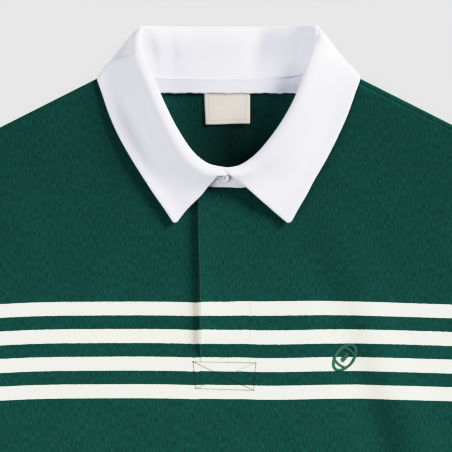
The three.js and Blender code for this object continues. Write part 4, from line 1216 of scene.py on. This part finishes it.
# Thread through the four holes and across the button's face
face = 0.28 * thickness
runs = []
for across in (-1, 1):
    for shift in (-0.22, 0.22):
        x = across * HOLE_OFFSET + shift
        runs.append(onto_stand([(x, -HOLE_OFFSET, -thickness * 0.5), (x, -HOLE_OFFSET, face),
                                (x, -HOLE_OFFSET * 0.5, face + 0.35), (x, 0, face + 0.45),
                                (x, HOLE_OFFSET * 0.5, face + 0.35), (x, HOLE_OFFSET, face),
                                (x, HOLE_OFFSET, -thickness * 0.5)]))
shank = grown(lines_piece("button_thread", runs), LAID_THREAD, Width=0.46 * MM, Material=WHITE_THREAD)
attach(shank, "root")

# Stitching on the placket: the free edge, the seam on the right, and the box with its cross below


def on_chest(points, spacing=1.0):
    """A run of stitching between places on the chest, lying on the highest cloth."""
    points = np.asarray(points, float)
    path = []
    for a, b in zip(points[:-1], points[1:]):
        count = max(2, int(np.linalg.norm(b - a) / spacing))
        path.append(a + (b - a) * np.linspace(0, 1, count)[:, None])
    path = np.concatenate(path)
    return np.column_stack([path, chest_top(path[:, 0], path[:, 1]) + 0.12])


BOX = [(-27.9, -228.0), (25.3, -229.0), (23.5, -252.3), (-25.8, -250.8)]
stitched("placket_stitches", [on_chest([(20.6, -92), (20.6, -229)])], GREEN_THREAD, pitch=2.6,
         length=1.9, width=0.42)
# The free edge's stitching runs close to the edge in pale thread: real stitching, and a painted highlight
stitched("placket_edge_stitches_and_painted_highlight", [on_chest([(-22.9, -90), (-22.9, -112), (-21.5, -180), (-21.5, -226)])],
         EDGE_HIGHLIGHT_THREAD, pitch=2.2, length=2.2, width=0.2)
stitched("box_stitches", [on_chest([*BOX, BOX[0]]), on_chest([BOX[0], BOX[2]]), on_chest([BOX[1], BOX[3]])],
         DARK_THREAD, pitch=2.1, length=2.3, width=0.5)

# Twin-needle stitching above the hem, front and back


def hem_line(above, front_side):
    x = np.linspace(-276, 276, 200)
    y = np.full(len(x), HEM_Y + above)
    if front_side:
        z = front_height(x, y, 0.4 + 0.5 * (1 - (x / 280) ** 4)) + hem_thickness(y) / 2 + 0.1
    else:
        z = np.full(len(x), 0.05)
    return np.column_stack([x, y, z])


stitched("hem_stitches", [hem_line(19, True), hem_line(25, True), hem_line(19, False), hem_line(25, False)],
         GREEN_THREAD, pitch=3.4, length=2.7)

# Chest motif, a plain rugby ball in satin stitch

MOTIF = {"x": 101.0, "y": -224.5, "length": 25.0, "width": 15.0, "tilt": math.radians(52), "thread": 0.5}


def satin(path, width):
    """Thread laid to and fro across a line, and how far along its rise each point is, highest in the middle."""
    way = unit(np.gradient(path, axis=0))
    across = np.column_stack([-way[:, 1], way[:, 0]]) * width / 2
    turned = np.where(np.arange(len(path)) % 2 == 0, 1, -1)
    share = np.array([-1, -0.6, 0, 0.6, 1]) * turned[:, None]
    points = path[:, None, :] + across[:, None, :] * share[..., None]
    return points.reshape(-1, 2), (1 - share ** 2).ravel()


def motif_line(points, width, spacing=0.42):
    points = np.asarray(points, float)
    length = np.concatenate([[0], np.cumsum(np.linalg.norm(np.diff(points, axis=0), axis=1))])
    at = np.linspace(0, length[-1], max(4, int(length[-1] / spacing)))
    line, rise = satin(np.stack([np.interp(at, length, points[:, i]) for i in (0, 1)], -1), width)
    c, s = math.cos(MOTIF["tilt"]), math.sin(MOTIF["tilt"])
    x = MOTIF["x"] + line[:, 0] * c - line[:, 1] * s
    y = MOTIF["y"] + line[:, 0] * s + line[:, 1] * c
    loft = SIDE[-1, 3] * (1 - (np.abs(x) / 262) ** 4) + 1.6 * (np.abs(x) / 262) ** 4
    return np.column_stack([x, y, front_height(x, y, loft) + JERSEY / 2 + 0.25 + 0.35 * rise])


long, wide = MOTIF["length"] / 2, MOTIF["width"] / 2
angle = np.linspace(0, math.tau, 90)
outline = np.column_stack([long * np.sign(np.cos(angle)) * np.abs(np.cos(angle)) ** 1.15, wide * np.sin(angle)])
lace = [motif_line([(-4.2, 0), (4.2, 0)], 1.0)]
lace += [motif_line([(x, -1.9), (x, 1.9)], 0.9) for x in (-3.0, -1.0, 1.0, 3.0)]
bands = []
for end in (-1, 1):
    bow = np.linspace(-0.86, 0.86, 24)
    bands.append(motif_line(np.column_stack([end * (7.6 - 1.3 * bow ** 2), bow * wide * 0.76]), 1.7))
motif = grown(lines_piece("chest_motif", [motif_line(outline, 2.2), *bands, *lace]), LAID_THREAD,
              Width=MOTIF["thread"] * MM, Material=MOTIF_THREAD)
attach(motif, "root")

# Studio

CENTRE = (0.0, -112.6, 8.0)
VIEW_WIDTH = 384.2
CAMERA_HEIGHT = 3000.0

paper_mesh = bpy.data.meshes.new("paper")
PAPER = {"reach": 12.0, "below": -0.0004}
corners = [(x * PAPER["reach"], y * PAPER["reach"], PAPER["below"]) for x, y in ((-1, -1), (1, -1), (1, 1), (-1, 1))]
paper_mesh.from_pydata(corners, [], [(0, 1, 2, 3)])
paper_mesh.materials.append(backdrop_paper())
paper = bpy.data.objects.new("paper", paper_mesh)
scene.collection.objects.link(paper)

camera = bpy.data.objects.new("camera", bpy.data.cameras.new("camera"))
camera.location = to_frame(np.array([CENTRE]))[0] + (0, 0, CAMERA_HEIGHT * MM)
camera.data.sensor_width = 36.0
camera.data.lens = 36.0 * CAMERA_HEIGHT / VIEW_WIDTH
camera.data.clip_end = 20.0
scene.collection.objects.link(camera)
scene.camera = camera



def softbox(name, azimuth, elevation, distance, size, share):
    """A round softbox that gives a level white surface this share of full light."""
    azimuth, elevation = math.radians(azimuth), math.radians(elevation)
    data = bpy.data.lights.new(name, "AREA")
    data.shape = "DISK"
    data.size = size
    data.energy = share * (math.pi * distance) ** 2 / math.sin(elevation)
    box = bpy.data.objects.new(name, data)
    towards = Vector((math.cos(elevation) * math.cos(azimuth), math.cos(elevation) * math.sin(azimuth),
                      math.sin(elevation)))
    box.location = Vector(to_frame(np.array([CENTRE]))[0]) + towards * distance
    box.rotation_euler = towards.to_track_quat("Z", "Y").to_euler()
    scene.collection.objects.link(box)


softbox("key", azimuth=36, elevation=25, distance=5.0, size=1.9, share=0.545)
softbox("fill", azimuth=215, elevation=28, distance=2.6, size=1.8, share=0.255)

world = bpy.data.worlds.new("studio")
world.use_nodes = True
world.node_tree.nodes["Background"].inputs[0].default_value = linear("#f1f2ff")
world.node_tree.nodes["Background"].inputs[1].default_value = 0.225
scene.world = world
scene.view_settings.view_transform = "Standard"
# The camera's response: it holds the darks down and draws the whites together, as the photograph's does
RESPONSE = [(0.0, 0.0), (0.026, 0.0155), (0.08, 0.058), (0.2, 0.19), (0.3, 0.34), (0.45, 0.57), (0.62, 0.73),
            (0.8, 0.84), (1.0, 0.905), (1.3, 0.955), (2.0, 1.0)]
scene.view_settings.use_curve_mapping = True
response = scene.view_settings.curve_mapping
response.clip_max_x = 2.0
curve = response.curves[3]
curve.points[0].location = RESPONSE[0]
curve.points[1].location = RESPONSE[-1]
for x, y in RESPONSE[1:-1]:
    curve.points.new(x, y)
response.update()

bpy.context.view_layer.update()
